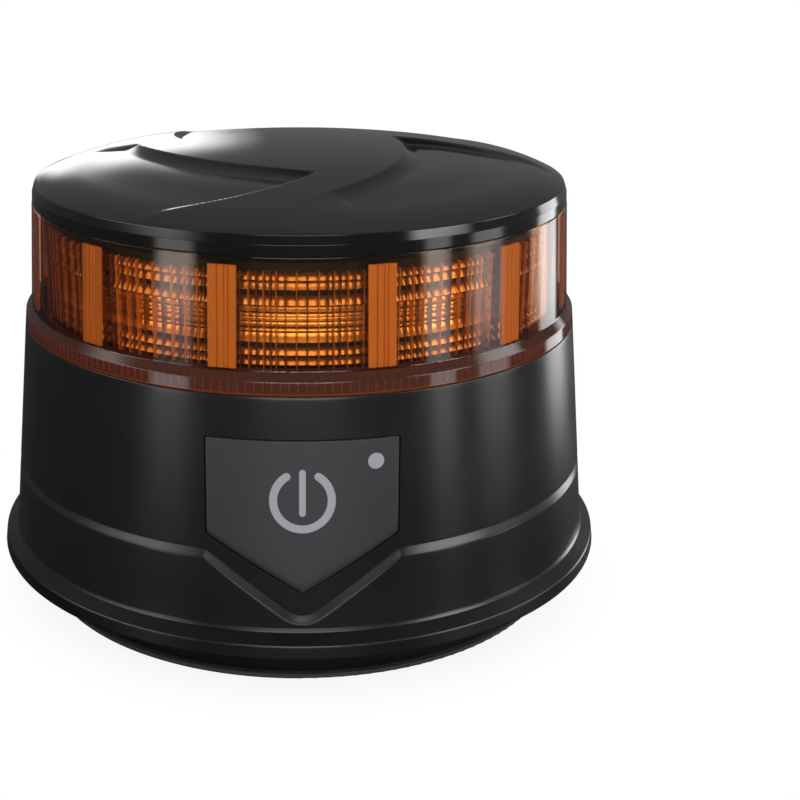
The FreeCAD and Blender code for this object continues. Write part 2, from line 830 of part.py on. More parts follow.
def housing(shop):
    """Black tapered shell, with the block for the charging connector at the back."""
    shell = housing_shell(shop)
    inside = shop.cone(
        "block_limit",
        "foot_radius - block_skin",
        "shoulder_radius - block_skin",
        "foot_height",
        "shoulder_height",
    )
    rough = shop.box(
        "block_rough",
        ("-block_half", "block_half"),
        ("block_back", "flange_radius"),
        ("block_low", "block_high"),
    )
    block = shop.common("block", rough, inside)
    shelf = shop.box(
        "charge_shelf",
        ("-charge_board_half", "charge_board_half"),
        ("block_back - shelf_deep", "block_back + block_skin"),
        (f"{CHARGE_BOARD_LOW} - shelf_thick", CHARGE_BOARD_LOW),
    )
    whole = shop.fuse("housing_whole", [shell, block, shelf])

    recess = shop.box(
        "flap_recess",
        ("-recess_half", "recess_half"),
        ("recess_floor", "flange_radius"),
        ("recess_low", "recess_high"),
    )
    mouth = shop.box(
        "port_mouth",
        ("-mouth_half", "mouth_half"),
        ("mouth_floor", "recess_floor + block_skin"),
        ("mouth_low", "mouth_high"),
    )
    slot = shop.box(
        "port_slot",
        ("-socket_half - socket_gap", "socket_half + socket_gap"),
        ("block_back - block_skin", "mouth_floor + block_skin"),
        ("port_height - socket_tall / 2 - socket_gap", "port_height + socket_tall / 2 + socket_gap"),
    )
    tools = shop.fuse("housing_tools", [recess, mouth, slot, *groove_tools(shop)])
    return shop.cut("housing", whole, tools)


def face_radius(height):
    """Radius of the button's face at a height: nearly flush at the top and proud at the tip."""
    low = f"({wall_radius(BUTTON_TIP)} + button_proud_low)"
    high = f"({wall_radius('button_top')} + button_proud_high)"
    return f"({low} + ({high} - {low}) * ({height} - {BUTTON_TIP}) / (button_top - {BUTTON_TIP}))"


def button(shop):
    """Push button with its inlaid symbol, its indicator and the switch plunger behind it."""
    low, high = f"{BUTTON_TIP} - button_lip * 2", "button_top + button_lip * 2"
    cap = shop.body("button_cap")
    five_sides(shop, cap, "button_sides", "0", "button_back", "flange_radius - button_back")

    turning = shop.sketch(cap, "button_face_outline", "XZ_Plane")
    outside = "2 * flange_radius"
    points = [(face_radius(low), low), (outside, low), (outside, high), (face_radius(high), high)]
    shop.outline(turning, points)
    face = cap.newObject("PartDesign::Groove", "button_face")
    face.Profile = turning
    face.ReferenceAxis = (turning, ["V_Axis"])
    face.Angle = FULL_TURN
    shop.doc.recompute()

    def on_face(edge):
        points = [vertex.Point for vertex in edge.Vertexes]
        gaps = [(p.x**2 + p.y**2) ** 0.5 - shop.value(face_radius(str(p.z))) for p in points]
        return all(abs(gap) < TOLERANCE for gap in gaps)

    shop.round(cap, "button_edge", "button_edge_round", on_face)

    lip = shop.sketch(cap, "button_lip_outline", "XZ_Plane", "button_back")
    shop.outline(lip, button_outline("button_lip"))
    shop.pad(cap, lip, "button_lip_thick")

    face_cone = shop.cone("button_face_cone", face_radius(low), face_radius(high), low, high)
    inlay_cone = shop.cone(
        "button_inlay_cone",
        f"{face_radius(low)} - symbol_deep",
        f"{face_radius(high)} - symbol_deep",
        low,
        high,
    )
    face_skin = shop.cut("button_face_skin", face_cone, inlay_cone)
    symbol = shop.common("power_symbol", face_skin, symbol_bar(shop))
    pipe_bar = shop.forward_cylinder(
        "pipe_bar", "pipe_radius", "button_back", "flange_radius", "pipe_across", "pipe_height"
    )
    pipe = shop.common("status_light_pipe", pipe_bar, face_cone)
    made = shop.cut("button", shop.cut("button_pierced", cap, pipe), symbol)
    plunger = shop.forward_cylinder(
        "switch_plunger",
        "plunger_radius",
        "plunger_back",
        "button_back - plunger_gap",
        "0",
        "symbol_height",
    )
    return [made, symbol, pipe, plunger]


def symbol_bar(shop):
    """The power symbol, an open ring and an upright stroke, drawn out along -Y."""
    middle = "(symbol_radius - symbol_stroke / 2)"
    reach = ("0", "flange_radius")
    start = Rotation(Vector(0, 0, 1), RIGHT_ANGLE + shop.value("symbol_opening"))
    centre = ("0", "symbol_height")
    sector = shop.forward_cylinder("symbol_sector", "symbol_radius", *reach, *centre, start)
    shop.size(sector, Angle=f"{FULL_TURN} - 2 * symbol_opening")
    hole = shop.forward_cylinder("symbol_hole", "symbol_radius - symbol_stroke", *reach, *centre)
    strokes = [shop.cut("symbol_ring", sector, hole)]
    for side, sign in (("left", "-"), ("right", "")):
        across = f"{sign}{middle} * sin(symbol_opening)"
        height = f"symbol_height + {middle} * cos(symbol_opening)"
        end = shop.forward_cylinder(f"symbol_end_{side}", "symbol_stroke / 2", *reach, across, height)
        strokes.append(end)
    half = "symbol_bar_wide / 2"
    ends = (f"symbol_bar_low + {half}", f"symbol_bar_high - {half}")
    strokes.append(shop.box("symbol_stem", (f"-{half}", half), ("-flange_radius", "0"), ends))
    for number, height in enumerate(ends, start=1):
        strokes.append(shop.forward_cylinder(f"symbol_stem_end_{number}", half, *reach, "0", height))
    return shop.fuse("symbol_drawn", strokes)


def control_board(shop):
    """Upright circuit board behind the button and what is soldered on it."""
    blank = shop.box(
        "control_board_blank",
        ("-board_half", "board_half"),
        ("-board_front", f"-{BOARD_BACK}"),
        ("board_low", "board_high"),
    )
    holes, screws = [], []
    places = [(x, z) for x in ("-board_screw_across", "board_screw_across") for z in ("low", "high")]
    for number, (x, row) in enumerate(places, start=1):
        z = f"board_screw_{row}"
        hole = shop.forward_cylinder(f"board_hole_{number}", "board_hole", "0", "board_front", x, z)
        holes.append(hole)
        tip = "board_front + board_screw_reach"
        name = f"board_screw_{number}"
        shank = shop.forward_cylinder(f"{name}_shank", "small_screw_radius", BOARD_BACK, tip, x, z)
        head_back = f"{BOARD_BACK} - small_head_high"
        head = shop.forward_cylinder(f"{name}_head", "small_head_radius", head_back, BOARD_BACK, x, z)
        screws.append(shop.fuse(name, [shank, head]))
    board = shop.cut("control_board", blank, shop.fuse("board_holes", holes))

    switch = shop.box(
        "switch_blank",
        ("-switch_half", "switch_half"),
        ("-switch_front", "-board_front"),
        ("symbol_height - switch_half", "symbol_height + switch_half"),
    )
    bore = shop.forward_cylinder(
        "switch_bore", "plunger_bore", "switch_bore_back", "switch_front", "0", "symbol_height"
    )
    led = shop.box(
        "status_led",
        ("pipe_across - status_led_half", "pipe_across + status_led_half"),
        ("-board_front - status_led_deep", "-board_front"),
        ("pipe_height - status_led_half", "pipe_height + status_led_half"),
    )
    return [
        board,
        shop.group("board_screws", screws),
        shop.cut("tact_switch", switch, bore),
        led,
        chips(shop),
        *radio(shop),
    ]


def chips(shop):
    """Parts on the back of the control board: processor, coil, capacitor and two plugs."""
    made = []
    processor = ("processor_side", "processor_side", "processor_deep")
    coil = ("coil_side", "coil_side", "coil_deep")
    plug = ("plug_wide", "plug_tall", "plug_deep")
    for name, x, z, (wide, tall, deep) in (
        ("processor", "processor_across", "processor_height", processor),
        ("coil", "coil_across", "coil_height", coil),
        ("lamp_plug", "0", "lamp_plug_height", plug),
        ("battery_plug", "battery_plug_across", "battery_plug_height", plug),
    ):
        made.append(
            shop.box(
                name,
                (f"{x} - {wide} / 2", f"{x} + {wide} / 2"),
                (f"-{BOARD_BACK}", f"-{BOARD_BACK} + {deep}"),
                (f"{z} - {tall} / 2", f"{z} + {tall} / 2"),
            )
        )
    made.append(
        shop.forward_cylinder(
            "capacitor",
            "capacitor_radius",
            f"{BOARD_BACK} - capacitor_deep",
            BOARD_BACK,
            "capacitor_across",
            "capacitor_height",
        )
    )
    return shop.group("control_chips", made)


def radio(shop):
    """Radio receiver on its header, and its sleeved antenna."""
    header_back = f"{BOARD_BACK} - radio_header"
    card_back = f"{header_back} - radio_thick"
    header = shop.box(
        "radio_header_block",
        ("radio_left", "radio_right"),
        (f"-{BOARD_BACK}", f"-({header_back})"),
        ("radio_low", "radio_low + radio_can_edge"),
    )
    card = shop.box(
        "radio_card",
        ("radio_left", "radio_right"),
        (f"-({header_back})", f"-({card_back})"),
        ("radio_low", "radio_high"),
    )
    can = shop.box(
        "radio_can",
        ("radio_left + radio_can_edge", "radio_right - radio_can_edge"),
        (f"-({card_back})", f"-({card_back}) + radio_can_deep"),
        ("radio_low + radio_can_edge", "radio_high - radio_can_edge"),
    )
    antenna = shop.cylinder(
        "antenna",
        "antenna_radius",
        "radio_high",
        "antenna_top",
        "antenna_across",
        f"-({card_back} + radio_thick / 2)",
    )
    return [shop.fuse("radio_module", [header, card, can]), antenna]


def battery(shop):
    """Cells side by side in a tray, the strap over them and the leads to the control board."""
    outside = shop.box(
        "tray_outside",
        ("-tray_half_long", "tray_half_long"),
        ("-tray_half_wide", "tray_half_wide"),
        ("tray_low", "tray_high"),
    )
    inside = shop.box(
        "tray_inside",
        ("-tray_half_long + tray_wall", "tray_half_long - tray_wall"),
        ("-tray_half_wide + tray_wall", "tray_half_wide - tray_wall"),
        ("tray_floor", "tray_high"),
    )
    tab_heights = ("tray_post_top", "tray_post_top + tray_tab_thick")
    tabs, screws = [], []
    for side, sign in (("left", "-"), ("right", "")):
        ends = [f"{sign}tray_half_long", f"{sign}tray_tab_end"]
        if sign:
            ends.reverse()
        blank = shop.box(f"tab_blank_{side}", ends, ("-tray_tab_half", "tray_tab_half"), tab_heights)
        x = f"{sign}tray_post_across"
        hole = shop.cylinder(f"tab_hole_{side}", "small_screw_clear", *tab_heights, x)
        tabs.append(shop.cut(f"tab_{side}", blank, hole))
        seat = tab_heights[1]
        shank = shop.cylinder(f"tray_shank_{side}", "small_screw_radius", "tray_screw_low", seat, x)
        head_top = f"{seat} + small_head_high"
        head = shop.cylinder(f"tray_head_{side}", "small_head_radius", seat, head_top, x)
        screws.append(shop.fuse(f"tray_screw_{side}", [shank, head]))
    tray = shop.fuse("battery_tray", [shop.cut("tray_box", outside, inside), *tabs])

    cells = []
    for index in range(CELL_COUNT):
        y = f"cell_pitch * {index - CELL_COUNT // 2}"
        middle = (y, CELL_HEIGHT)
        ends = ("-cell_half_long", "cell_half_long")
        tip = "cell_half_long + terminal_long"
        can = shop.side_cylinder(f"cell_can_{index}", "cell_radius", *ends, *middle)
        terminal = shop.side_cylinder(f"terminal_{index}", "terminal_radius", ends[1], tip, *middle)
        cells.append(shop.fuse(f"cell_{index}", [can, terminal]))

    strap_inner = "tray_half_wide + strap_gap"
    strap_outer = f"{strap_inner} + strap_thick"
    strap_under = f"{CELL_HEIGHT} + cell_radius + strap_gap"
    across = ("-strap_half", "strap_half")
    strap_top = f"{strap_under} + strap_thick"
    outer = (f"-({strap_outer})", strap_outer)
    inner = (f"-({strap_inner})", strap_inner)
    strap_blank = shop.box("strap_blank", across, outer, ("strap_low", strap_top))
    strap_space = shop.box("strap_space", across, inner, ("strap_low", strap_under))

    wires = []
    for side, sign in (("left", "-"), ("right", "+")):
        x = f"battery_plug_across {sign} wire_across"
        run_end = "tray_half_wide + battery_wire_run"
        run = shop.forward_cylinder(
            f"battery_run_{side}", "wire_radius", "tray_half_wide", run_end, x, "battery_wire_height"
        )
        middle = "battery_wire_height + battery_wire_bend"
        rise = shop.bend(
            f"battery_rise_{side}", "battery_wire_bend", "wire_radius", x, f"-({run_end})", middle, -1
        )
        over = shop.bend(
            f"battery_over_{side}",
            "battery_wire_bend",
            "wire_radius",
            x,
            f"-({run_end} + 2 * battery_wire_bend)",
            middle,
            1,
        )
        wires.append(shop.fuse(f"battery_wire_{side}", [run, rise, over]))
    return [
        tray,
        shop.group("tray_screws", screws),
        shop.group("battery_cells", cells),
        shop.cut("battery_strap", strap_blank, strap_space),
        shop.group("battery_leads", wires),
    ]


def charging(shop):
    """Charging connector on its board, and the rubber cover over it."""
    board = shop.box(
        "charge_board",
        ("-charge_board_half", "charge_board_half"),
        ("charge_board_back", "block_back - charge_board_gap"),
        (CHARGE_BOARD_LOW, CHARGE_BOARD_TOP),
    )
    shell = shop.box(
        "socket_shell",
        ("-socket_half", "socket_half"),
        ("socket_back", "socket_front"),
        (CHARGE_BOARD_TOP, "port_height + socket_tall / 2"),
    )
    hollow = shop.box(
        "socket_hollow",
        ("-socket_half + socket_wall", "socket_half - socket_wall"),
        ("socket_back + socket_wall", "socket_front"),
        (f"{CHARGE_BOARD_TOP} + socket_wall", "port_height + socket_tall / 2 - socket_wall"),
    )
    tongue = shop.box(
        "charge_tongue",
        ("-tongue_half", "tongue_half"),
        ("socket_back + socket_wall", "tongue_front"),
        ("port_height - tongue_thick / 2", "port_height + tongue_thick / 2"),
    )
    heights = ("foot_height", "shoulder_height")
    outside = shop.cone("cover_outside", "foot_radius", "shoulder_radius", *heights)
    across = ("-flap_half", "flap_half")
    reach = ("flap_floor", "flange_radius")
    flap_bar = shop.box("flap_bar", across, reach, ("flap_low", "flap_high"))
    stopper = shop.box(
        "stopper",
        ("-stopper_half", "stopper_half"),
        ("stopper_back", "flap_floor"),
        ("stopper_low", "stopper_high"),
    )
    flap = shop.fuse("charge_flap", [shop.common("flap_plate", flap_bar, outside), stopper])
    anchor_bar = shop.box("anchor_bar", across, reach, ("anchor_low", "anchor_high"))
    return [
        board,
        shop.cut("charge_socket", shell, hollow),
        tongue,
        flap,
        shop.common("flap_anchor", anchor_bar, outside),
    ]


def lamp(shop):
    """Twelve-sided heat sink with a lit board on each side, between two bright rings."""
    column = shop.doc.addObject("Part::Prism", "sink_column")
    column.Polygon = WINDOW_COUNT
    half_side = FULL_TURN / WINDOW_COUNT / 2
    shop.size(
        column,
        Circumradius=f"sink_apothem / cos({half_side})",
        Height="sink_top - shoulder_height",
    )
    shop.place(column, "0", "0", "shoulder_height", Rotation(Vector(0, 0, 1), half_side))
    bore = shop.cylinder("sink_hollow", "sink_bore", "shoulder_height", "sink_top")
    holes = []
    for number, (x, y) in enumerate(around("sink_screw_circle", SCREW_COUNT), start=1):
        ends = ("shoulder_height", "sink_screw_top + drive_deep")
        holes.append(shop.cylinder(f"sink_hole_{number}", "small_screw_bore", *ends, x, y))
    sink = shop.cut("heat_sink", column, shop.fuse("sink_spaces", [bore, *holes]))

    boards, lights = [], []
    for index in range(WINDOW_COUNT):
        turn = Rotation(Vector(0, 0, 1), FULL_TURN / WINDOW_COUNT * index)
        board = sided_box(
            shop,
            f"led_board_{index}",
            turn,
            ("sink_apothem", "led_board_thick", "led_board_wide"),
            ("led_board_low", "led_board_high"),
        )
        boards.append(board)
        for row in ("led_row_low", "led_row_high"):
            light = sided_box(
                shop,
                f"{row}_{index}",
                turn,
                ("sink_apothem + led_board_thick", "led_deep", "led_side"),
                (f"{row} - led_side / 2", f"{row} + led_side / 2"),
            )
            lights.append(light)
    return [
        sink,
        upright_screws(
            shop,
            "heat_sink_screws",
            around("sink_screw_circle", SCREW_COUNT),
            "small_screw_radius",
            "small_head_radius",
            "small_head_high",
            DECK_LOW,
            "sink_screw_top",
        ),
        shop.group("led_boards", boards),
        shop.group("leds", lights),
        ring(
            shop,
            "reflector_ring",
            "reflector_inner",
            "reflector_outer",
            "shoulder_height",
            "shoulder_height + reflector_thick",
        ),
        ring(
            shop,
            "upper_reflector",
            "reflector_inner",
            "upper_reflector_outer",
            "upper_reflector_low",
            "upper_reflector_low + upper_reflector_thick",
        ),
        optic(shop),
        *lamp_wires(shop),
    ]


def sided_box(shop, name, turn, plan, heights):
    """Box against one side of a column. Its plan is how far out it starts, how deep and how wide it is."""
    reach, deep, wide = plan
    low, high = heights
    made = shop.doc.addObject("Part::Box", name)
    shop.size(made, Length=deep, Width=wide, Height=f"({high}) - ({low})")
    out = turn.multVec(Vector(1, 0, 0))
    along = turn.multVec(Vector(0, 1, 0))
    x = f"({reach}) * {out.x} - ({wide}) / 2 * {along.x}"
    y = f"({reach}) * {out.y} - ({wide}) / 2 * {along.y}"
    shop.place(made, x, y, low, turn)
    return made


def optic(shop):
    """Amber ring inside the lens, with a smooth post between each two windows."""
    low, high = "shoulder_height + reflector_thick", "upper_reflector_low"
    made = shop.turned(
        "optic_ring",
        [("optic_inner", low), ("optic_outer", low), ("optic_outer", high), ("optic_inner", high)],
    )
    sketch = shop.sketch(made, "optic_post", "XY_Plane", low)
    middle = "(optic_inner + optic_outer) / 2"
    half = "optic_post_wide / 2"
    tilt = FULL_TURN / WINDOW_COUNT / 2
    corners = []
    for reach, side in (
        (middle, f"-{half}"),
        ("optic_post_outer", f"-{half}"),
        ("optic_post_outer", half),
        (middle, half),
    ):
        x = f"({reach}) * cos({tilt}) - ({side}) * sin({tilt})"
        y = f"({reach}) * sin({tilt}) + ({side}) * cos({tilt})"
        corners.append((x, y))
    shop.outline(sketch, corners)
    post = shop.pad(made, sketch, f"{high} - ({low})")
    posts = made.newObject("PartDesign::PolarPattern", "optic_posts")
    posts.Originals = [post]
    posts.Axis = (sketch, ["N_Axis"])
    posts.Angle = FULL_TURN
    posts.Occurrences = WINDOW_COUNT
    made.Tip = posts
    shop.doc.recompute()
    return made


def lamp_wires(shop):
    """Rubber grommet in the deck and the two wires that pass through it."""
    flange_low = f"{DECK_LOW} - grommet_gap - grommet_flange_thick"
    flange_high = "shoulder_height + grommet_gap + grommet_flange_thick"
    waist = "deck_bore - grommet_gap"
    grommet = shop.turned(
        "deck_grommet",
        [
            ("grommet_bore", flange_low),
            ("grommet_flange", flange_low),
            ("grommet_flange", f"{DECK_LOW} - grommet_gap"),
            (waist, f"{DECK_LOW} - grommet_gap"),
            (waist, "shoulder_height + grommet_gap"),
            ("grommet_flange", "shoulder_height + grommet_gap"),
            ("grommet_flange", flange_high),
            ("grommet_bore", flange_high),
        ],
    )
    wires = []
    bend_height = "lamp_plug_height + lamp_wire_bend"
    for side, x in (("left", "-wire_across"), ("right", "wire_across")):
        drop = shop.cylinder(f"lamp_drop_{side}", "wire_radius", bend_height, "lamp_wire_top", x)
        turn = shop.bend(
            f"lamp_turn_{side}", "lamp_wire_bend", "wire_radius", x, "-lamp_wire_bend", bend_height, 0
        )
        run_end = f"{BOARD_BACK} - plug_deep"
        run = shop.forward_cylinder(
            f"lamp_run_{side}", "wire_radius", "lamp_wire_bend", run_end, x, "lamp_plug_height"
        )
        wires.append(shop.fuse(f"lamp_wire_{side}", [drop, turn, run]))
    return [grommet, shop.group("led_leads", wires)]


def lens(shop):
    """Amber ring with a stepped foot and a slightly tapered wall."""
    return shop.turned(
        "lens",
        [
            ("lens_inner_low", "shoulder_height"),
            ("lens_seal_inner", "shoulder_height"),
            ("lens_seal_inner", "lens_seal_top"),
            ("lens_seal_outer", "lens_seal_top"),
            ("lens_seal_outer", "shoulder_height"),
            ("shoulder_radius", "shoulder_height"),
            ("lens_step_radius", "lens_step"),
            ("lens_low_radius", "lens_low"),
            ("lens_top_radius", "lens_top"),
            ("lens_inner_top", "lens_top"),
            ("lens_inner_low", "lens_low"),
        ],
    )


def cap(shop):
    """Black domed top, with a spigot inside the lens and screw towers down to the deck."""
    crown = "((dome_blend_radius ^ 2 + (dome_apex - dome_blend) ^ 2) / (2 * (dome_apex - dome_blend)))"
    rise = "(dome_inner_apex - cap_inner_rim)"
    hollow = f"((cap_spigot_inner ^ 2 + {rise} ^ 2) / (2 * {rise}))"
    seal_top = "lens_top + cap_seal_deep"
    made = shop.turned(
        "cap_blank",
        [
            ("0", "dome_apex", crown, -1),
            ("dome_blend_radius", "dome_blend", "dome_shoulder_round", -1),
            ("dome_rim_radius", "dome_rim"),
            ("cap_skirt_radius", "cap_skirt_top"),
            ("cap_radius", "lens_top"),
            ("cap_seal_outer", "lens_top"),
            ("cap_seal_outer", seal_top),
            ("cap_seal_inner", seal_top),
            ("cap_seal_inner", "lens_top"),
            ("cap_spigot_radius", "lens_top"),
            ("cap_spigot_radius", "cap_spigot_low"),
            ("cap_spigot_inner", "cap_spigot_low"),
            ("cap_spigot_inner", "cap_inner_rim", hollow, 1),
            ("0", "dome_inner_apex"),
        ],
    )
    shop.round(made, "dome_edge", "dome_edge_round", shop.hoop("dome_rim_radius", "dome_rim"))
    towers = shop.sketch(made, "cap_towers", "XY_Plane", "tower_low")
    shop.circles(towers, "tower_radius", around("tower_circle", SCREW_COUNT, DIAGONAL))
    shop.pad(made, towers, "tower_top - tower_low")
    bores = shop.sketch(made, "cap_tower_bores", "XY_Plane", "tower_low")
    shop.circles(bores, "screw_bore", around("tower_circle", SCREW_COUNT, DIAGONAL))
    shop.pocket(made, bores, "tower_bore_deep", along=True)
    scoops = shop.fuse("scoops", [scoop(shop, index) for index in range(SCOOP_COUNT)])
    return shop.cut("cap", made, scoops)


def scoop(shop, index):
    """One shallow scoop of the dome: two walls that meet at a tip, over a floor that follows a large ball."""
    angle = f"(scoop_first_angle + {FULL_TURN / SCOOP_COUNT * index})"
    outside = "2 * cap_radius"
    plan = [
        ("scoop_tip_radius", "0", "scoop_lead_round", -1),
        ("scoop_lead_radius", "scoop_lead_angle"),
        (outside, "scoop_lead_angle"),
        (outside, "scoop_outer_angle"),
        (outside, "scoop_tail_out_angle"),
        ("scoop_tail_radius", "scoop_tail_angle", "scoop_tail_round", 1),
    ]
    walls = shop.body(f"scoop_walls_{index}")
    sketch = shop.sketch(walls, f"scoop_plan_{index}", "XY_Plane", "lens_top")
    points = []
    for radius, turn, *arc in plan:
        x = f"{radius} * cos({angle} - {turn})"
        y = f"{radius} * sin({angle} - {turn})"
        points.append((x, y, *arc))
    shop.outline(sketch, points)
    shop.pad(walls, sketch, "dome_apex - lens_top")
    ball = shop.doc.addObject("Part::Sphere", f"scoop_ball_{index}")
    shop.size(ball, Radius="scoop_ball_radius")
    x = f"scoop_ball_shift * cos({angle} + scoop_ball_angle)"
    y = f"scoop_ball_shift * sin({angle} + scoop_ball_angle)"
    shop.place(ball, x, y, "scoop_ball_top - scoop_ball_radius")
    return shop.cut(f"scoop_{index}", walls, ball)


def closing(shop):
    """Seals at the parting lines and the screws that close the light."""
    head = ("screw_radius", "screw_head_radius", "screw_head_high")
    foot_seal, lens_seal, cap_seal = (
        (f"{place}_seal_inner", f"{place}_seal_outer") for place in ("foot", "lens", "cap")
    )
    return [
        ring(shop, "housing_gasket", *foot_seal, "foot_seal_low", "foot_height"),
        ring(shop, "lens_gasket", *lens_seal, "shoulder_height", "lens_seal_top"),
        ring(shop, "cap_gasket", *cap_seal, "lens_top", "lens_top + cap_seal_deep"),
        upright_screws(
            shop,
            "base_screws",
            around("base_screw_circle", SCREW_COUNT, DIAGONAL),
            *head,
            "head_pocket_top",
            "base_screw_top",
        ),
        upright_screws(
            shop,
            "cap_screws",
            around("tower_circle", SCREW_COUNT, DIAGONAL),
            *head,
            DECK_LOW,
            "cap_screw_top",
        ),
    ]


def write_pieces(shop, pieces):
    """Tests every object, then writes each piece to its own file."""
    shop.doc.recompute()
    for thing in shop.doc.Objects:
        if {"Invalid", "Error"} & set(thing.State):
            raise RuntimeError(f"{thing.Label}: {thing.State}")
    for piece in pieces:
        if piece.Shape.isNull() or not piece.Shape.isValid() or not piece.Shape.Solids:
            raise RuntimeError(f"{piece.Label}: no valid solid")
    os.makedirs("parts", exist_ok=True)
    for piece in pieces:
        piece.Shape.exportStep(f"parts/{piece.Label}.step")
        print(f"{piece.Label}: {len(piece.Shape.Solids)} solid, {piece.Shape.Volume:.0f} mm3")


def main():
    """Builds every piece of the light and writes it."""
    shop = Workshop()
    pieces = [
        base_pad(shop),
        base(shop),
        *magnets(shop),
        housing(shop),
        *button(shop),
        *control_board(shop),
        *battery(shop),
        *charging(shop),
        *lamp(shop),
        lens(shop),
        cap(shop),
        *closing(shop),
    ]
    write_pieces(shop, pieces)


main()
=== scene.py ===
"""Magnetic warning light: its visible pieces, their finishes and the studio they stand in.

Sizes are in millimetres. The front, with the button, faces -Y, and the light stands on z = 0.
"""

import json
import logging
import math
from collections.abc import Iterable, Sequence
from dataclasses import dataclass, replace
from enum import Enum

import bmesh
import bpy
import numpy as np
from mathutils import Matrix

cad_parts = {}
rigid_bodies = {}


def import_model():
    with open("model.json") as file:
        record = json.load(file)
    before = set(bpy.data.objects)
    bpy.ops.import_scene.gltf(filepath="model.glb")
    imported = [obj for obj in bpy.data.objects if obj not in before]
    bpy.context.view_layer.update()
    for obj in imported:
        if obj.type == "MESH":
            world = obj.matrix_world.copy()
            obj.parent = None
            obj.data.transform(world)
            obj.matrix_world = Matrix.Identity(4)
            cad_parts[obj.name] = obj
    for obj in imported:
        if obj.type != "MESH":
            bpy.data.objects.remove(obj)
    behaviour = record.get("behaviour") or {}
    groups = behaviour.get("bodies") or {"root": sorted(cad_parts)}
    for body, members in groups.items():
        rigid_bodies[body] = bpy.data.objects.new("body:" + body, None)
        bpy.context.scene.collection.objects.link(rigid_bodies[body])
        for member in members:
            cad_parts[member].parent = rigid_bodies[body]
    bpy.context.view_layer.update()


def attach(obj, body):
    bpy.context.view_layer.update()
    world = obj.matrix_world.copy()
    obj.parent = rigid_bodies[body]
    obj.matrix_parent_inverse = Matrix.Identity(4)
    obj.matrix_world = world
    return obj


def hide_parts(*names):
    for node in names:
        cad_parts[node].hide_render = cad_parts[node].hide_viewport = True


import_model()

LOG = logging.getLogger("warning_light")
MM = 0.001
Point = tuple[float, float, float]
Colour = tuple[float, float, float, float]


# ---------------------------------------------------------------------------------------------------------
# Small tools
# ---------------------------------------------------------------------------------------------------------

def linear(code: str) -> Colour:
    """Turns an sRGB hex colour into the linear colour that shaders take.

    Args:
        code: Colour as "#RRGGBB".

    Returns:
        Red, green, blue and an alpha of one.
    """
    parts = [int(code[i:i + 2], 16) / 255.0 for i in (1, 3, 5)]
    return (*[p / 12.92 if p <= 0.04045 else ((p + 0.055) / 1.055) ** 2.4 for p in parts], 1.0)


def add_node(tree: bpy.types.NodeTree, kind: str, inputs: dict | None = None,
             **settings: object) -> bpy.types.Node:
    """Adds a node with its settings, and links or sets its inputs.

    Args:
        tree: Tree that gets the node.
        kind: Blender's name for the node type.
        inputs: Input name or number, and the output socket or the value that goes there.
        settings: Properties of the node.

    Returns:
        The new node.
    """
    node = tree.nodes.new(kind)
    for name, value in settings.items():
        setattr(node, name, value)
    for key, value in (inputs or {}).items():
        if isinstance(value, bpy.types.NodeSocket):
            tree.links.new(value, node.inputs[key])
        else:
            node.inputs[key].default_value = value
    return node


def shaded(colour: Colour, share: float) -> Colour:
    """Makes a linear colour darker or lighter by a factor."""
    return (*[min(1.0, c * share) for c in colour[:3]], 1.0)


def per_mm(size: float) -> float:
    """Texture scale that gives a pattern this size in millimetres."""
    return 1.0 / (size * MM)


def smooth(value: np.ndarray) -> np.ndarray:
    """Eases from zero to one and holds both ends."""
    held = np.clip(value, 0.0, 1.0)
    return held * held * (3.0 - 2.0 * held)


def mirrored(half: Iterable[float]) -> list[float]:
    """Lists places on both sides of a middle, in order, from those on one side."""
    return sorted({round(side * x, 4) for x in half for side in (-1, 1)})


def arc_centre(start: Sequence[float], end: Sequence[float], radius: float,
               side: int) -> tuple[float, float]:
    """Finds the centre of an arc.

    Args:
        start: First point of the arc.
        end: Last point of the arc.
        radius: Radius of the arc.
        side: 1 for a centre on the left of the way from start to end, -1 for the right.

    Returns:
        The centre.
    """
    run, rise = end[0] - start[0], end[1] - start[1]
    length = math.hypot(run, rise)
    reach = side * math.sqrt(radius ** 2 - (length / 2) ** 2) / length
    return ((start[0] + end[0]) / 2 - rise * reach, (start[1] + end[1]) / 2 + run * reach)


def rounded(corners: Sequence[tuple[float, float, float]], steps: int = 5) -> list[tuple[float, float]]:
    """Rounds the corners of a closed outline.

    Args:
        corners: Radius, height and rounding of each corner.
        steps: Straight pieces in each rounding.

    Returns:
        Points of the outline, with a point on each flat beside a rounding so that flats shade flat.
    """
    line: list[tuple[float, float]] = []
    lead_in = 0.3
    for i, (r, z, bend) in enumerate(corners):
        here = np.array((r, z))
        if bend <= 0.0:
            line.append((r, z))
            continue
        back = np.array(corners[i - 1][:2]) - here
        ahead = np.array(corners[(i + 1) % len(corners)][:2]) - here
        back, ahead = back / np.linalg.norm(back), ahead / np.linalg.norm(ahead)
        half = math.acos(float(np.clip(back @ ahead, -1.0, 1.0))) / 2
        reach = bend / math.tan(half)
        first, last = here + back * reach, here + ahead * reach
        middle = here + (back + ahead) / np.linalg.norm(back + ahead) * bend / math.sin(half)
        line.append(tuple(first + back * bend * lead_in))
        for k in range(steps + 1):
            spoke = (first - middle) * (1 - k / steps) + (last - middle) * (k / steps)
            line.append(tuple(middle + spoke / np.linalg.norm(spoke) * bend))
        line.append(tuple(last + ahead * bend * lead_in))
    return [(float(r), float(z)) for r, z in line]


def shade_faces(mesh: bpy.types.Mesh, crease: float) -> None:
    """Shades a mesh smooth, with only the edges past an angle in degrees sharp."""
    mesh.shade_smooth()
    mesh.set_sharp_from_angle(angle=math.radians(crease))


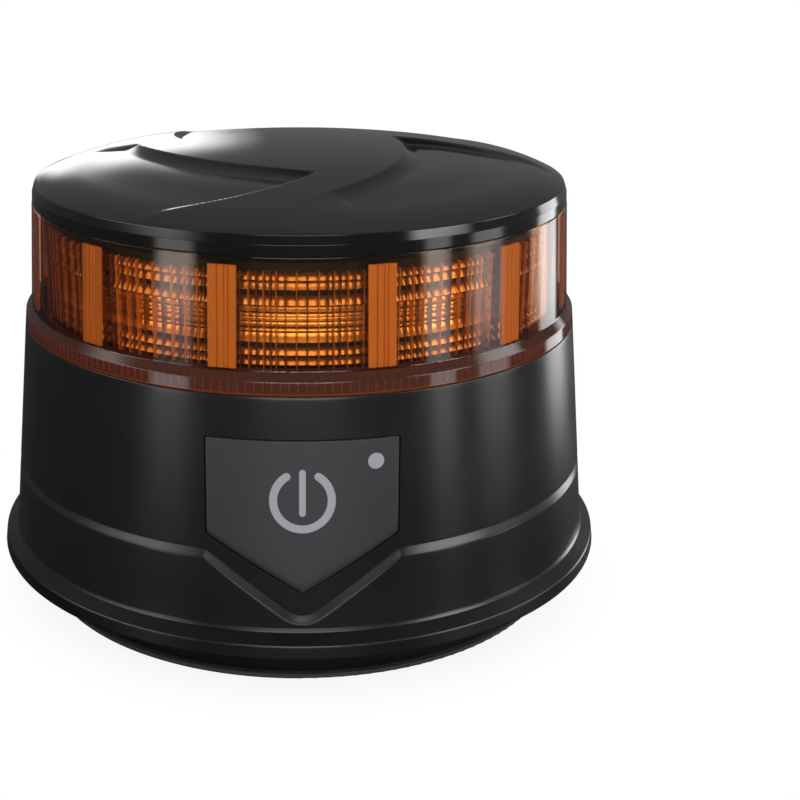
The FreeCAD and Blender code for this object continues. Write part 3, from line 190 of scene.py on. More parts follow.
class Net:
    """Points and faces of one mesh while it is being made."""

    def __init__(self) -> None:
        """Starts empty."""
        self.points: list[Point] = []
        self.faces: list[tuple[int, ...]] = []

    def row(self, points: Iterable[Point]) -> list[int]:
        """Adds points.

        Args:
            points: The points.

        Returns:
            Their numbers.
        """
        first = len(self.points)
        self.points.extend(tuple(float(v) for v in p) for p in points)
        return list(range(first, len(self.points)))

    def ring(self, radius: float, height: float, segments: int) -> list[int]:
        """Adds points round the light's axis.

        Args:
            radius: Distance from the axis; zero gives one point, a pole.
            height: Height.
            segments: Points in the ring.

        Returns:
            Their numbers.
        """
        if radius <= 0:
            return self.row([(0.0, 0.0, height)])
        angles = np.arange(segments) * 2 * math.pi / segments
        return self.row((radius * math.cos(a), radius * math.sin(a), height) for a in angles)

    def band(self, lower: Sequence[int], upper: Sequence[int], closed: bool = True) -> None:
        """Joins two rows with faces, or a row with a single point.

        Args:
            lower: Numbers of the first row.
            upper: Numbers of the second row.
            closed: Whether the rows run right round.
        """
        count = max(len(lower), len(upper))
        for i in range(count if closed else count - 1):
            j = (i + 1) % count
            corners = [lower[i % len(lower)], lower[j % len(lower)],
                       upper[j % len(upper)], upper[i % len(upper)]]
            self.faces.append(tuple(dict.fromkeys(corners)))

    def sheet(self, rows: Sequence[list[int]]) -> list[int]:
        """Joins rows of the same length into an open sheet.

        Args:
            rows: Numbers of each row.

        Returns:
            Numbers of the points round its edge.
        """
        for lower, upper in zip(rows, rows[1:]):
            self.band(lower, upper, closed=False)
        return rows[0] + [r[-1] for r in rows[1:]] + rows[-1][-2::-1] + [r[0] for r in rows[-2:0:-1]]

    def bar(self, foot: Iterable[Point], top: Iterable[Point]) -> None:
        """Makes a bar, closed at both ends.

        Args:
            foot: Points round one end.
            top: The same points round the other end.
        """
        ends = [self.row(foot), self.row(top)]
        self.band(*ends)
        self.faces += [tuple(end) for end in ends]

    def turn(self, outline: Sequence[tuple[float, float]], segments: int) -> None:
        """Turns a closed outline of radius and height round the light's axis.

        Args:
            outline: Points of the outline; a radius of zero is a pole.
            segments: Faces round the axis.
        """
        rings = [self.ring(r, z, segments) for r, z in outline]
        for lower, upper in zip(rings, rings[1:] + rings[:1]):
            if len(lower) > 1 or len(upper) > 1:
                self.band(lower, upper)

    def mesh(self, name: str, crease: float = 38.0) -> bpy.types.Mesh:
        """Makes the mesh in metres, with its faces outwards and only its true edges sharp.

        Args:
            name: Name of the mesh.
            crease: Angle in degrees past which an edge is sharp.

        Returns:
            The mesh.
        """
        mesh = bpy.data.meshes.new(name)
        mesh.from_pydata([(x * MM, y * MM, z * MM) for x, y, z in self.points], [], self.faces)
        shape = bmesh.new()
        shape.from_mesh(mesh)
        bmesh.ops.remove_doubles(shape, verts=shape.verts, dist=1e-7)
        bmesh.ops.recalc_face_normals(shape, faces=shape.faces)
        shape.to_mesh(mesh)
        shape.free()
        shade_faces(mesh, crease)
        return mesh


def stand(name: str, mesh: bpy.types.Mesh) -> bpy.types.Object:
    """Puts a mesh in the scene as an object at the origin.

    Args:
        name: Name of the object.
        mesh: Its mesh.

    Returns:
        The object.
    """
    thing = bpy.data.objects.new(name, mesh)
    bpy.context.scene.collection.objects.link(thing)
    return thing


def take(piece: bpy.types.Object, body: str, slot: str, *nodes: str) -> None:
    """Lets a finished piece stand for CAD nodes and move with their body.

    Args:
        piece: The finished piece.
        body: Body that carries it.
        slot: Material slot of the record. Not used.
        nodes: CAD nodes that the piece stands for.
    """
    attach(piece, body)
    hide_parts(*nodes)
    LOG.info("%s: %d faces, for %s", piece.name, len(piece.data.polygons), ", ".join(nodes))


@dataclass(frozen=True)
class Place:
    """Where one copy of a shape goes: turn in degrees, radius, height, its size and its glow, a painted
    brightness.
    """

    turn: float
    radius: float
    height: float
    size: Point = (1.0, 1.0, 1.0)
    glow: float = 1.0


def ring_tree() -> bpy.types.NodeTree:
    """Builds the node tree that sets copies of a shape on places, and the places round the axis.

    Returns:
        The tree, with inputs for the shape, the number of sectors, the first turn and the finish.
    """
    tree = bpy.data.node_groups.new("copies_round_the_axis", "GeometryNodeTree")
    tree.is_modifier = True
    for title, kind in (("Places", "NodeSocketGeometry"), ("Shape", "NodeSocketObject"),
                        ("Sectors", "NodeSocketInt"), ("First Turn", "NodeSocketFloat"),
                        ("Finish", "NodeSocketMaterial")):
        tree.interface.new_socket(title, in_out="INPUT", socket_type=kind)
    tree.interface.new_socket("Pieces", in_out="OUTPUT", socket_type="NodeSocketGeometry")
    given = add_node(tree, "NodeGroupInput").outputs
    shape = add_node(tree, "GeometryNodeObjectInfo", {"Object": given["Shape"]})
    own = {}
    for name, kind in (("turn", "FLOAT"), ("size", "FLOAT_VECTOR")):
        node = add_node(tree, "GeometryNodeInputNamedAttribute", {"Name": name}, data_type=kind)
        own[name] = next(s for s in node.outputs if s.enabled and s.name == "Attribute")
    spin = add_node(tree, "ShaderNodeCombineXYZ", {"Z": own["turn"]})
    facing = add_node(tree, "FunctionNodeEulerToRotation", {0: spin.outputs[0]})
    sector = add_node(tree, "GeometryNodeInstanceOnPoints", {
        "Points": given["Places"], "Instance": shape.outputs["Geometry"],
        "Rotation": facing.outputs[0], "Scale": own["size"]})
    starts = add_node(tree, "GeometryNodePoints", {"Count": given["Sectors"]})
    step = add_node(tree, "ShaderNodeMath", {0: 2 * math.pi, 1: given["Sectors"]}, operation="DIVIDE")
    index = add_node(tree, "GeometryNodeInputIndex")
    angle = add_node(tree, "ShaderNodeMath", {
        0: index.outputs[0], 1: step.outputs[0], 2: given["First Turn"]}, operation="MULTIPLY_ADD")
    around = add_node(tree, "ShaderNodeCombineXYZ", {"Z": angle.outputs[0]})
    heading = add_node(tree, "FunctionNodeEulerToRotation", {0: around.outputs[0]})
    ring = add_node(tree, "GeometryNodeInstanceOnPoints", {
        "Points": starts.outputs[0], "Instance": sector.outputs[0], "Rotation": heading.outputs[0]})
    real = add_node(tree, "GeometryNodeRealizeInstances", {0: ring.outputs[0]})
    dressed = add_node(tree, "GeometryNodeSetMaterial", {
        "Geometry": real.outputs[0], "Material": given["Finish"]})
    add_node(tree, "NodeGroupOutput", {0: dressed.outputs[0]})
    return tree


def ringed(name: str, shape: bpy.types.Mesh, places: Sequence[Place], sectors: int,
           finish: bpy.types.Material, first_turn: float = 0.0) -> bpy.types.Object:
    """Sets copies of a shape round the light's axis.

    Args:
        name: Name of the piece.
        shape: Mesh of one copy, with +X outwards, around its own origin.
        places: Places of the copies in one sector.
        sectors: How many times the sector repeats round the axis.
        finish: Material of the copies.
        first_turn: Turn of the first sector in degrees.

    Returns:
        The piece as a plain mesh.
    """
    tree = bpy.data.node_groups.get("copies_round_the_axis") or ring_tree()
    carrier = bpy.data.meshes.new(name + "_places")
    turns = [math.radians(p.turn) for p in places]
    carrier.from_pydata([(p.radius * MM * math.cos(turn), p.radius * MM * math.sin(turn), p.height * MM)
                         for p, turn in zip(places, turns)], [], [])
    sizes = [v for p in places for v in p.size]
    # Each copy's glow, its painted light, goes to the finish as an attribute.
    for title, kind, field, values in (("turn", "FLOAT", "value", turns),
                                       ("glow", "FLOAT", "value", [p.glow for p in places]),
                                       ("size", "FLOAT_VECTOR", "vector", sizes)):
        carrier.attributes.new(title, kind, "POINT").data.foreach_set(field, values)
    helper, piece = stand(name + "_shape", shape), stand(name, carrier)
    copies = piece.modifiers.new("copies", "NODES")
    copies.node_group = tree
    inputs = {"Shape": helper, "Sectors": sectors, "First Turn": math.radians(first_turn), "Finish": finish}
    for item in tree.interface.items_tree:
        if item.in_out == "INPUT" and item.name in inputs:
            copies[item.identifier] = inputs[item.name]
    graph = bpy.context.evaluated_depsgraph_get()
    solid = bpy.data.meshes.new_from_object(piece.evaluated_get(graph), preserve_all_data_layers=True,
                                            depsgraph=graph)
    piece.modifiers.remove(copies)
    piece.data = solid
    solid.name = name
    bpy.data.objects.remove(helper)
    bpy.data.meshes.remove(carrier)
    return piece


# ---------------------------------------------------------------------------------------------------------
# Finishes
# ---------------------------------------------------------------------------------------------------------

def blank(name: str) -> tuple[bpy.types.Material, bpy.types.NodeTree, bpy.types.NodeSocket]:
    """Starts a material with only its output.

    Args:
        name: Name of the material.

    Returns:
        The material, its tree and the surface input of its output.
    """
    material = bpy.data.materials.new(name)
    material.use_nodes = True
    material.node_tree.nodes.clear()
    out = add_node(material.node_tree, "ShaderNodeOutputMaterial")
    return material, material.node_tree, out.inputs["Surface"]


@dataclass(frozen=True)
class Moulding:
    """Injection-moulded plastic or rubber: the mould's fine grain, and slow changes of gloss and shade."""

    name: str
    colour: str
    roughness: float
    # How far the roughness and the shade change from place to place, and the size of those patches.
    drift: float = 0.05
    shade: float = 0.12
    patch: float = 18.0
    # The grain's size and height.
    grain: float = 0.45
    relief: float = 0.006
    ior: float = 1.5

    def material(self) -> bpy.types.Material:
        """Builds the material.

        Returns:
            The material.
        """
        material, tree, out = blank(self.name)
        where = add_node(tree, "ShaderNodeTexCoord").outputs["Object"]
        slow = add_node(tree, "ShaderNodeTexNoise", {
            "Vector": where, "Scale": per_mm(self.patch), "Detail": 3.0})
        # The real grain is near 0.1 mm, too fine to show, so it is drawn a few times coarser.
        fine = add_node(tree, "ShaderNodeTexNoise", {
            "Vector": where, "Scale": per_mm(self.grain), "Detail": 2.0})
        gloss = add_node(tree, "ShaderNodeMapRange", {
            "Value": slow.outputs["Fac"], "From Min": 0.3, "From Max": 0.7,
            "To Min": self.roughness - self.drift, "To Max": self.roughness + self.drift})
        base = linear(self.colour)
        tone = add_node(tree, "ShaderNodeMix", {
            0: slow.outputs["Fac"], 6: shaded(base, 1 - self.shade), 7: shaded(base, 1 + self.shade)},
            data_type="RGBA")
        bump = add_node(tree, "ShaderNodeBump", {
            "Strength": 0.6, "Distance": self.relief * MM, "Height": fine.outputs["Fac"]})
        body = add_node(tree, "ShaderNodeBsdfPrincipled", {
            "Base Color": tone.outputs[2], "Roughness": gloss.outputs["Result"],
            "Normal": bump.outputs["Normal"], "IOR": self.ior})
        tree.links.new(body.outputs[0], out)
        return material


@dataclass(frozen=True)
class Metal:
    """Bare or plated metal with the fine lines of its last working."""

    name: str
    colour: str
    roughness: float
    # Width of the lines, how much longer they are than wide, and how far the roughness and the shade change
    # across them.
    lines: float = 0.5
    length: float = 25.0
    spread: float = 0.3
    shade: float = 0.15
    # Colour of the faces that don't look down, which is painted shade, so that only the underside shows
    # metal.
    painted: str = ""

    def material(self) -> bpy.types.Material:
        """Builds the material.

        Returns:
            The material.
        """
        material, tree, out = blank(self.name)
        where = add_node(tree, "ShaderNodeTexCoord").outputs["Object"]
        drawn = add_node(tree, "ShaderNodeMapping", {"Vector": where, "Scale": (1.0, 1.0, 1.0 / self.length)})
        lines = add_node(tree, "ShaderNodeTexNoise", {
            "Vector": drawn.outputs[0], "Scale": per_mm(self.lines), "Detail": 3.0})
        gloss = add_node(tree, "ShaderNodeMapRange", {
            "Value": lines.outputs["Fac"], "To Min": self.roughness * (1 - self.spread),
            "To Max": self.roughness * (1 + self.spread)})
        base = linear(self.colour)
        tone = add_node(tree, "ShaderNodeMix", {
            0: lines.outputs["Fac"], 6: shaded(base, 1 - self.shade), 7: base}, data_type="RGBA")
        body = add_node(tree, "ShaderNodeBsdfPrincipled", {
            "Base Color": tone.outputs[2], "Roughness": gloss.outputs["Result"], "Metallic": 1.0})
        tree.links.new(body.outputs[0], out)
        if self.painted:
            # Faces that don't look down get the painted shade.
            normal = add_node(tree, "ShaderNodeTexCoord").outputs["Normal"]
            facing = add_node(tree, "ShaderNodeSeparateXYZ", {0: normal})
            bare = add_node(tree, "ShaderNodeMath", {0: facing.outputs["Z"], 1: -0.5}, operation="LESS_THAN")
            paint = add_node(tree, "ShaderNodeBsdfPrincipled", {
                "Base Color": linear(self.painted), "Roughness": 0.5})
            both = add_node(tree, "ShaderNodeMixShader", {
                0: bare.outputs[0], 1: paint.outputs[0], 2: body.outputs[0]})
            tree.links.new(both.outputs[0], out)
        return material


@dataclass(frozen=True)
class Board:
    """Circuit board: solder mask over a pattern of copper tracks."""

    name: str
    mask: str
    track: str

    def material(self) -> bpy.types.Material:
        """Builds the material.

        Returns:
            The material.
        """
        material, tree, out = blank(self.name)
        where = add_node(tree, "ShaderNodeTexCoord").outputs["Object"]
        cells = add_node(tree, "ShaderNodeTexBrick", {
            "Vector": where, "Color1": (1, 1, 1, 1), "Color2": (0.8, 0.8, 0.8, 1), "Mortar": (0, 0, 0, 1),
            "Scale": per_mm(1.0), "Mortar Size": 0.25, "Brick Width": 3.2, "Row Height": 1.6})
        tone = add_node(tree, "ShaderNodeMix", {
            0: cells.outputs["Color"], 6: linear(self.track), 7: linear(self.mask)}, data_type="RGBA")
        bump = add_node(tree, "ShaderNodeBump", {
            "Strength": 0.5, "Distance": 0.03 * MM, "Height": cells.outputs["Color"]}, invert=True)
        body = add_node(tree, "ShaderNodeBsdfPrincipled", {
            "Base Color": tone.outputs[2], "Roughness": 0.35, "Normal": bump.outputs["Normal"]})
        tree.links.new(body.outputs[0], out)
        return material


@dataclass(frozen=True)
class AmberShell:
    """Clear amber polycarbonate, polished in the mould: a smooth wall that tints what is behind it and is
    deeper and redder where it is seen edge on, with the studio in its gloss."""

    name: str
    face: str
    edge: str
    scatter: float
    scattered: str
    # Share of the light that a wall seen straight on mirrors, its least and greatest roughness, and the size
    # of the patches between them.
    mirror: float = 0.05
    gloss: tuple[float, float] = (0.03, 0.09)
    flow: float = 22.0

    def material(self) -> bpy.types.Material:
        """Builds the material.

        Returns:
            The material.
        """
        material, tree, out = blank(self.name)
        where = add_node(tree, "ShaderNodeTexCoord").outputs["Object"]
        flow = add_node(tree, "ShaderNodeTexNoise", {
            "Vector": where, "Scale": per_mm(self.flow), "Detail": 1.0})
        turned = add_node(tree, "ShaderNodeLayerWeight", {"Blend": 0.5}).outputs["Facing"]
        power = add_node(tree, "ShaderNodeMath", {0: turned, 1: 5.0}, operation="POWER")
        mirror = add_node(tree, "ShaderNodeMath", {
            0: power.outputs[0], 1: 1.0 - self.mirror, 2: self.mirror}, operation="MULTIPLY_ADD")
        depth = add_node(tree, "ShaderNodeMath", {0: turned, 1: 3.0}, operation="POWER")
        tint = add_node(tree, "ShaderNodeMix", {
            0: depth.outputs[0], 6: linear(self.face), 7: linear(self.edge)}, data_type="RGBA")
        clear = add_node(tree, "ShaderNodeBsdfTransparent", {"Color": tint.outputs[2]})
        haze = add_node(tree, "ShaderNodeBsdfDiffuse", {"Color": linear(self.scattered)})
        wall = add_node(tree, "ShaderNodeMixShader", {
            0: self.scatter, 1: clear.outputs[0], 2: haze.outputs[0]})
        gloss_level = add_node(tree, "ShaderNodeMapRange", {
            "Value": flow.outputs["Fac"], "To Min": self.gloss[0], "To Max": self.gloss[1]})
        gloss = add_node(tree, "ShaderNodeBsdfGlossy", {"Roughness": gloss_level.outputs["Result"]})
        both = add_node(tree, "ShaderNodeMixShader", {
            0: mirror.outputs[0], 1: wall.outputs[0], 2: gloss.outputs[0]})
        tree.links.new(both.outputs[0], out)
        return material


@dataclass(frozen=True)
class AmberPrism:
    """Amber acrylic prisms: total reflection in each one gives the light back like polished gold, so the
    metallic value stands for it. Each copy's own glow is painted light: it lifts the copy's colour from
    dull to bright, for the highlights that the prisms show."""

    name: str
    dull: str
    bright: str
    metallic: float
    roughness: float
    # Size of the brighter and darker flecks, and how far the roughness changes between them.
    fleck: float = 1.7
    spread: float = 0.3

    def material(self) -> bpy.types.Material:
        """Builds the material.

        Returns:
            The material.
        """
        material, tree, out = blank(self.name)
        where = add_node(tree, "ShaderNodeTexCoord").outputs["Object"]
        # The glow is painted light: it lifts each copy's colour from dull towards bright.
        glow = add_node(tree, "ShaderNodeAttribute", attribute_name="glow", attribute_type="GEOMETRY")
        flecks = add_node(tree, "ShaderNodeTexNoise", {
            "Vector": where, "Scale": per_mm(self.fleck), "Detail": 2.0})
        # Each prism is up to a quarter brighter or darker from place to place.
        level = add_node(tree, "ShaderNodeMath", {
            0: flecks.outputs["Fac"], 1: 0.5, 2: -0.25}, operation="MULTIPLY_ADD")
        answer = add_node(tree, "ShaderNodeMath", {
            0: glow.outputs["Fac"], 1: level.outputs[0]}, operation="ADD", use_clamp=True)
        tone = add_node(tree, "ShaderNodeMix", {
            0: answer.outputs[0], 6: linear(self.dull), 7: linear(self.bright)}, data_type="RGBA")
        gloss = add_node(tree, "ShaderNodeMapRange", {
            "Value": flecks.outputs["Fac"], "To Min": self.roughness * (1 - self.spread),
            "To Max": self.roughness * (1 + self.spread)})
        body = add_node(tree, "ShaderNodeBsdfPrincipled", {
            "Base Color": tone.outputs[2], "Roughness": gloss.outputs["Result"], "Metallic": self.metallic})
        tree.links.new(body.outputs[0], out)
        return material


Finish = Moulding | Metal | Board | AmberShell | AmberPrism


class Shop:
    """Every finish of the light, made once each."""

    # Moulded ABS with a satin spark-eroded face: near black, soft reflections.
    BODY = Moulding("moulded_black_abs", "#1A1A1C", 0.24, drift=0.03, relief=0.0015)
    # The base is glass-filled for strength: a deeper black and a little duller.
    BASE = Moulding("glass_filled_black_abs", "#0C0C0D", 0.3, drift=0.03, relief=0.0015)
    # The cap is the housing's plastic from a finer mould: glossier, and a little warmer under light.
    CAP = Moulding("satin_black_abs", "#131211", 0.11, drift=0.01, relief=0.0008)
    # Silicone-coated grey ABS: a dark grey, matter than the housing.
    BUTTON = Moulding("soft_grey_abs", "#333336", 0.48, shade=0.08)
    # Pale polycarbonate inlay, lightly frosted.
    INLAY = Moulding("frosted_pale_polycarbonate", "#A6A6AC", 0.38, shade=0.04)
    # Nitrile rubber sheet: dull, with a fine rubbed face.
    PAD = Moulding("nitrile_rubber_sheet", "#3A3A3C", 0.72, grain=0.7, relief=0.02)
    # Silicone rubber of the charging cover: softer black than the housing.
    FLAP = Moulding("black_silicone_rubber", "#1D1D1E", 0.62, grain=0.6, relief=0.012)
    SEAL = Moulding("red_silicone_seal", "#6E2018", 0.6)
    TRAY = Moulding("natural_nylon", "#C9C4B4", 0.5)
    SWITCH = Moulding("glass_filled_black_nylon", "#1B1C1E", 0.45)
    WRAP = Moulding("blue_shrink_sleeve", "#2C5AA0", 0.3, shade=0.2)
    WIRE = Moulding("red_pvc_sleeve", "#A8241C", 0.4, shade=0.2)
    LED = Moulding("white_phosphor_resin", "#F0E6B4", 0.35)
    SINK = Metal("turned_aluminium", "#C8CACC", 0.32)
    STEEL = Metal("zinc_plated_steel", "#B9BCC2", 0.28)
    MAGNET = Metal("nickel_plated_magnet", "#C9C4B8", 0.18)
    MIRROR = Metal("vacuum_metallised_plastic", "#DADCE0", 0.12)
    # The upper reflector shows metal on its underside only; its other faces are painted near black, painted
    # shade behind the top of the lens.
    UPPER_MIRROR = Metal("metal_under_painted_shade", "#DADCE0", 0.12, painted="#0C0C0D")
    LED_BOARD = Board("white_solder_mask", "#E4E6E2", "#C8CCC6")
    CIRCUIT = Board("green_solder_mask", "#1E5A34", "#2F7A48")
    # Light crosses the two faces of the lens twice, so each face has only a quarter of the lens's colour.
    LENS = AmberShell("clear_amber_polycarbonate", "#FDEEDB", "#C06A3C", 0.0, "#B4551C")
    FOOT = AmberShell("thick_amber_polycarbonate", "#C0785A", "#8A4030", 0.3, "#84503F")
    # The lowest edge is a brighter copy of the foot's polycarbonate: a painted highlight along that edge.
    HIGHLIT_EDGE = AmberShell("amber_polycarbonate_painted_highlight", "#D07A38", "#A04A1C", 0.45, "#A04C26")
    # The prisms' and the fins' colours run from dull to bright with each copy's glow, which is painted light.
    PRISM = AmberPrism("amber_acrylic_prisms", "#8C5C2C", "#F4B45C", 0.7, 0.22)
    FIN = AmberPrism("amber_acrylic_fins", "#7A3C18", "#F0A04C", 0.2, 0.3)
    POST = AmberPrism("amber_acrylic_posts", "#C0681F", "#D07A2C", 0.1, 0.34)
    # The core is painted near black: painted shade inside the lens, behind the prisms.
    SHADED_CORE = AmberPrism("amber_acrylic_core_painted_shade", "#180B05", "#261206", 0.0, 0.5)
    TICK = AmberPrism("amber_polycarbonate_ticks", "#C0643A", "#E88A54", 0.0, 0.4)

    def __init__(self) -> None:
        """Starts with nothing made."""
        self.made: dict[str, bpy.types.Material] = {}

    def get(self, finish: Finish) -> bpy.types.Material:
        """Gives a finish's material, made at first use."""
        if finish.name not in self.made:
            self.made[finish.name] = finish.material()
        return self.made[finish.name]

    def dress(self, thing: bpy.types.Object, *finishes: Finish) -> None:
        """Gives an object these finishes, one for each slot."""
        thing.data.materials.clear()
        for finish in finishes:
            thing.data.materials.append(self.get(finish))


# ---------------------------------------------------------------------------------------------------------
# Sub-assemblies
# ---------------------------------------------------------------------------------------------------------

@dataclass
class Cap:
    """Black domed top: a shallow crown with scoops, a slanted rim, a skirt and a ring behind the lens."""

    apex: float = 104.9
    crown: float = 333.3
    # Radius and height where the crown runs into the shoulder, at the dome's edge and on top of the skirt.
    blend: tuple[float, float] = (50.0, 101.128)
    shoulder: float = 38.16
    rim: tuple[float, float] = (61.2, 97.6)
    rim_round: float = 0.25
    skirt: tuple[float, float] = (61.8, 95.7)
    skirt_round: float = 0.45
    scoops: int = 3
    # Turn of the first scoop, distance of its tip, and the two curved walls that start there: the distance
    # and the turn past the tip of their ends, their radii, and how wide they are.
    scoop_first: float = 38.7
    scoop_tip: float = 28.3
    lead_end: tuple[float, float] = (58.0, 40.2)
    lead_round: float = 49.8
    tail_end: tuple[float, float] = (41.3, 119.5)
    tail_round: float = 58.1
    lead_width: float = 2.2
    tail_width: float = 4.2
    # How fast the tail wall opens into a gentle ramp past its end.
    tail_opening: float = 2.6
    # Distances from the axis, and the depth of a scoop there.
    floor_radii: tuple[float, ...] = (0.0, 30.0, 36.0, 45.0, 50.0, 55.0, 60.0)
    floor_depths: tuple[float, ...] = (1.8, 1.7, 1.35, 1.2, 0.9, 0.45, 0.0)
    # How far the kinks of that line are eased to both sides.
    floor_ease: float = 2.5
    # Share of the tail wall over which its upper edge is broken.
    wall_edge: float = 0.12
    # Rings of points: the first, last and step of each zone. The walls need the finest.
    zones: tuple[Point, ...] = ((3.0, 24.0, 3.0), (24.0, 45.0, 0.28), (45.0, 60.2, 0.8))
    dome_end: float = 60.6
    # Below the skirt and back to the axis: radius, height and rounding, then the height on the axis.
    inside: tuple[Point, ...] = (
        (61.9, 93.3, 0.25), (59.7, 93.3, 0.0), (59.7, 91.6, 0.2), (57.6, 91.6, 0.2), (57.6, 96.0, 0.0),
        (35.0, 98.9, 0.0), (15.0, 100.3, 0.0))
    ceiling: float = 100.6
    segments: int = 640

    def dome(self, radius: np.ndarray) -> np.ndarray:
        """Height of the dome without its scoops.

        Args:
            radius: Distances from the axis.

        Returns:
            Heights.
        """
        middle = arc_centre(self.blend, self.rim, self.shoulder, -1)
        beyond = np.maximum(radius, self.blend[0]) - middle[0]
        return np.where(radius > self.blend[0], middle[1] + np.sqrt(self.shoulder ** 2 - beyond ** 2),
                        self.apex - self.crown + np.sqrt(self.crown ** 2 - radius ** 2))

    def scooped(self, x: np.ndarray, y: np.ndarray) -> np.ndarray:
        """Height of the dome with its scoops.

        Args:
            x: Places across.
            y: Places to the back.

        Returns:
            Heights.
        """
        radius = np.hypot(x, y)
        tip, lead_end, tail_end = [(r * math.cos(math.radians(a)), -r * math.sin(math.radians(a)))
                                   for r, a in ((self.scoop_tip, 0.0), self.lead_end, self.tail_end)]
        lead = arc_centre(tip, lead_end, self.lead_round, -1)
        tail = arc_centre(tail_end, tip, self.tail_round, 1)
        out = [(end - middle) / self.tail_round for end, middle in zip(tail_end, tail)]
        deep = np.mean([np.interp(radius + shift, self.floor_radii, self.floor_depths)
                        for shift in np.linspace(-self.floor_ease, self.floor_ease, 9)], axis=0)
        depth = np.zeros_like(radius)
        for turn in range(self.scoops):
            angle = math.radians(self.scoop_first + 360.0 / self.scoops * turn)
            u = x * math.cos(angle) + y * math.sin(angle)
            v = -x * math.sin(angle) + y * math.cos(angle)
            past_lead = self.lead_round - np.hypot(u - lead[0], v - lead[1])
            # Past its end, the tail wall runs straight on.
            ahead = (u - tail_end[0]) * out[1] - (v - tail_end[1]) * out[0]
            beside = (u - tail_end[0]) * out[0] + (v - tail_end[1]) * out[1]
            past_tail = np.where(ahead > 0, beside, np.hypot(u - tail[0], v - tail[1]) - self.tail_round)
            ramp = self.tail_width + self.tail_opening * np.maximum(ahead, 0.0)
            cut = deep * smooth(past_lead / self.lead_width) * self.wall(past_tail / ramp)
            depth = np.maximum(depth, cut)
        return self.dome(radius) - depth

    def wall(self, share: np.ndarray) -> np.ndarray:
        """Share of a scoop's depth across its tail wall: steep from a crisp edge, then easing out."""
        held = np.clip(share, 0.0, 1.0)
        return (1.0 - (1.0 - held) ** 2) * smooth(held / self.wall_edge * 0.5 + 0.5)

    def build(self, shop: Shop) -> None:
        """Makes the cap.

        Args:
            shop: The finishes.
        """
        net = Net()
        angles = np.arange(self.segments) * 2 * math.pi / self.segments
        rings = [net.row([(0.0, 0.0, self.apex)])]
        for r in np.concatenate([np.arange(*zone) for zone in self.zones]):
            x, y = r * np.cos(angles), r * np.sin(angles)
            rings.append(net.row(zip(x, y, self.scooped(x, y))))
        edge = rounded([(self.dome_end, float(self.dome(np.array(self.dome_end))), 0.0),
                        (*self.rim, self.rim_round), (*self.skirt, self.skirt_round), *self.inside], 4)
        rings.extend(net.ring(r, z, self.segments) for r, z in edge)
        rings.append(net.row([(0.0, 0.0, self.ceiling)]))
        for lower, upper in zip(rings, rings[1:]):
            net.band(lower, upper)
        piece = stand("domed_cap", net.mesh("domed_cap", crease=50.0))
        shop.dress(piece, Shop.CAP)
        take(piece, "light", "cap_plastic", "cap")


class Side(Enum):
    """Which part of the housing a column of points is on."""

    FRONT = "front"
    RIGHT = "right"
    BACK = "back"
    LEFT = "left"


@dataclass(frozen=True)
class Column:
    """One upright line of points: its side, and its x or how far round it is from the front to the back."""

    side: Side
    value: float


@dataclass(frozen=True)
class FiveSides:
    """Outline of the button or its window: a level top, upright sides and a V below, with small roundings."""

    # Half the width, heights of the top and the V's tip, its slope in degrees, and radii at corners and tip.
    half: float
    top: float
    tip: float
    slope: float
    corner: float
    point: float

    def edges(self, across: float) -> tuple[float, float]:
        """Finds the lower and upper edge.

        Args:
            across: Distance from the middle.

        Returns:
            Lower and upper height.
        """
        x, lean = min(abs(across), self.half), math.radians(self.slope)
        inner = self.half - self.corner
        low_centre = self.tip + self.half * math.tan(lean) + self.corner / math.tan((math.pi / 2 + lean) / 2)
        drop = math.sqrt(max(0.0, self.corner ** 2 - max(0.0, x - inner) ** 2))
        low = self.tip + x * math.tan(lean)
        if x < self.point * math.sin(lean):
            low = self.tip + self.point / math.cos(lean) - math.sqrt(self.point ** 2 - x ** 2)
        if x > inner + self.corner * math.sin(lean):
            low = low_centre - drop
        return low, self.top - self.corner + drop


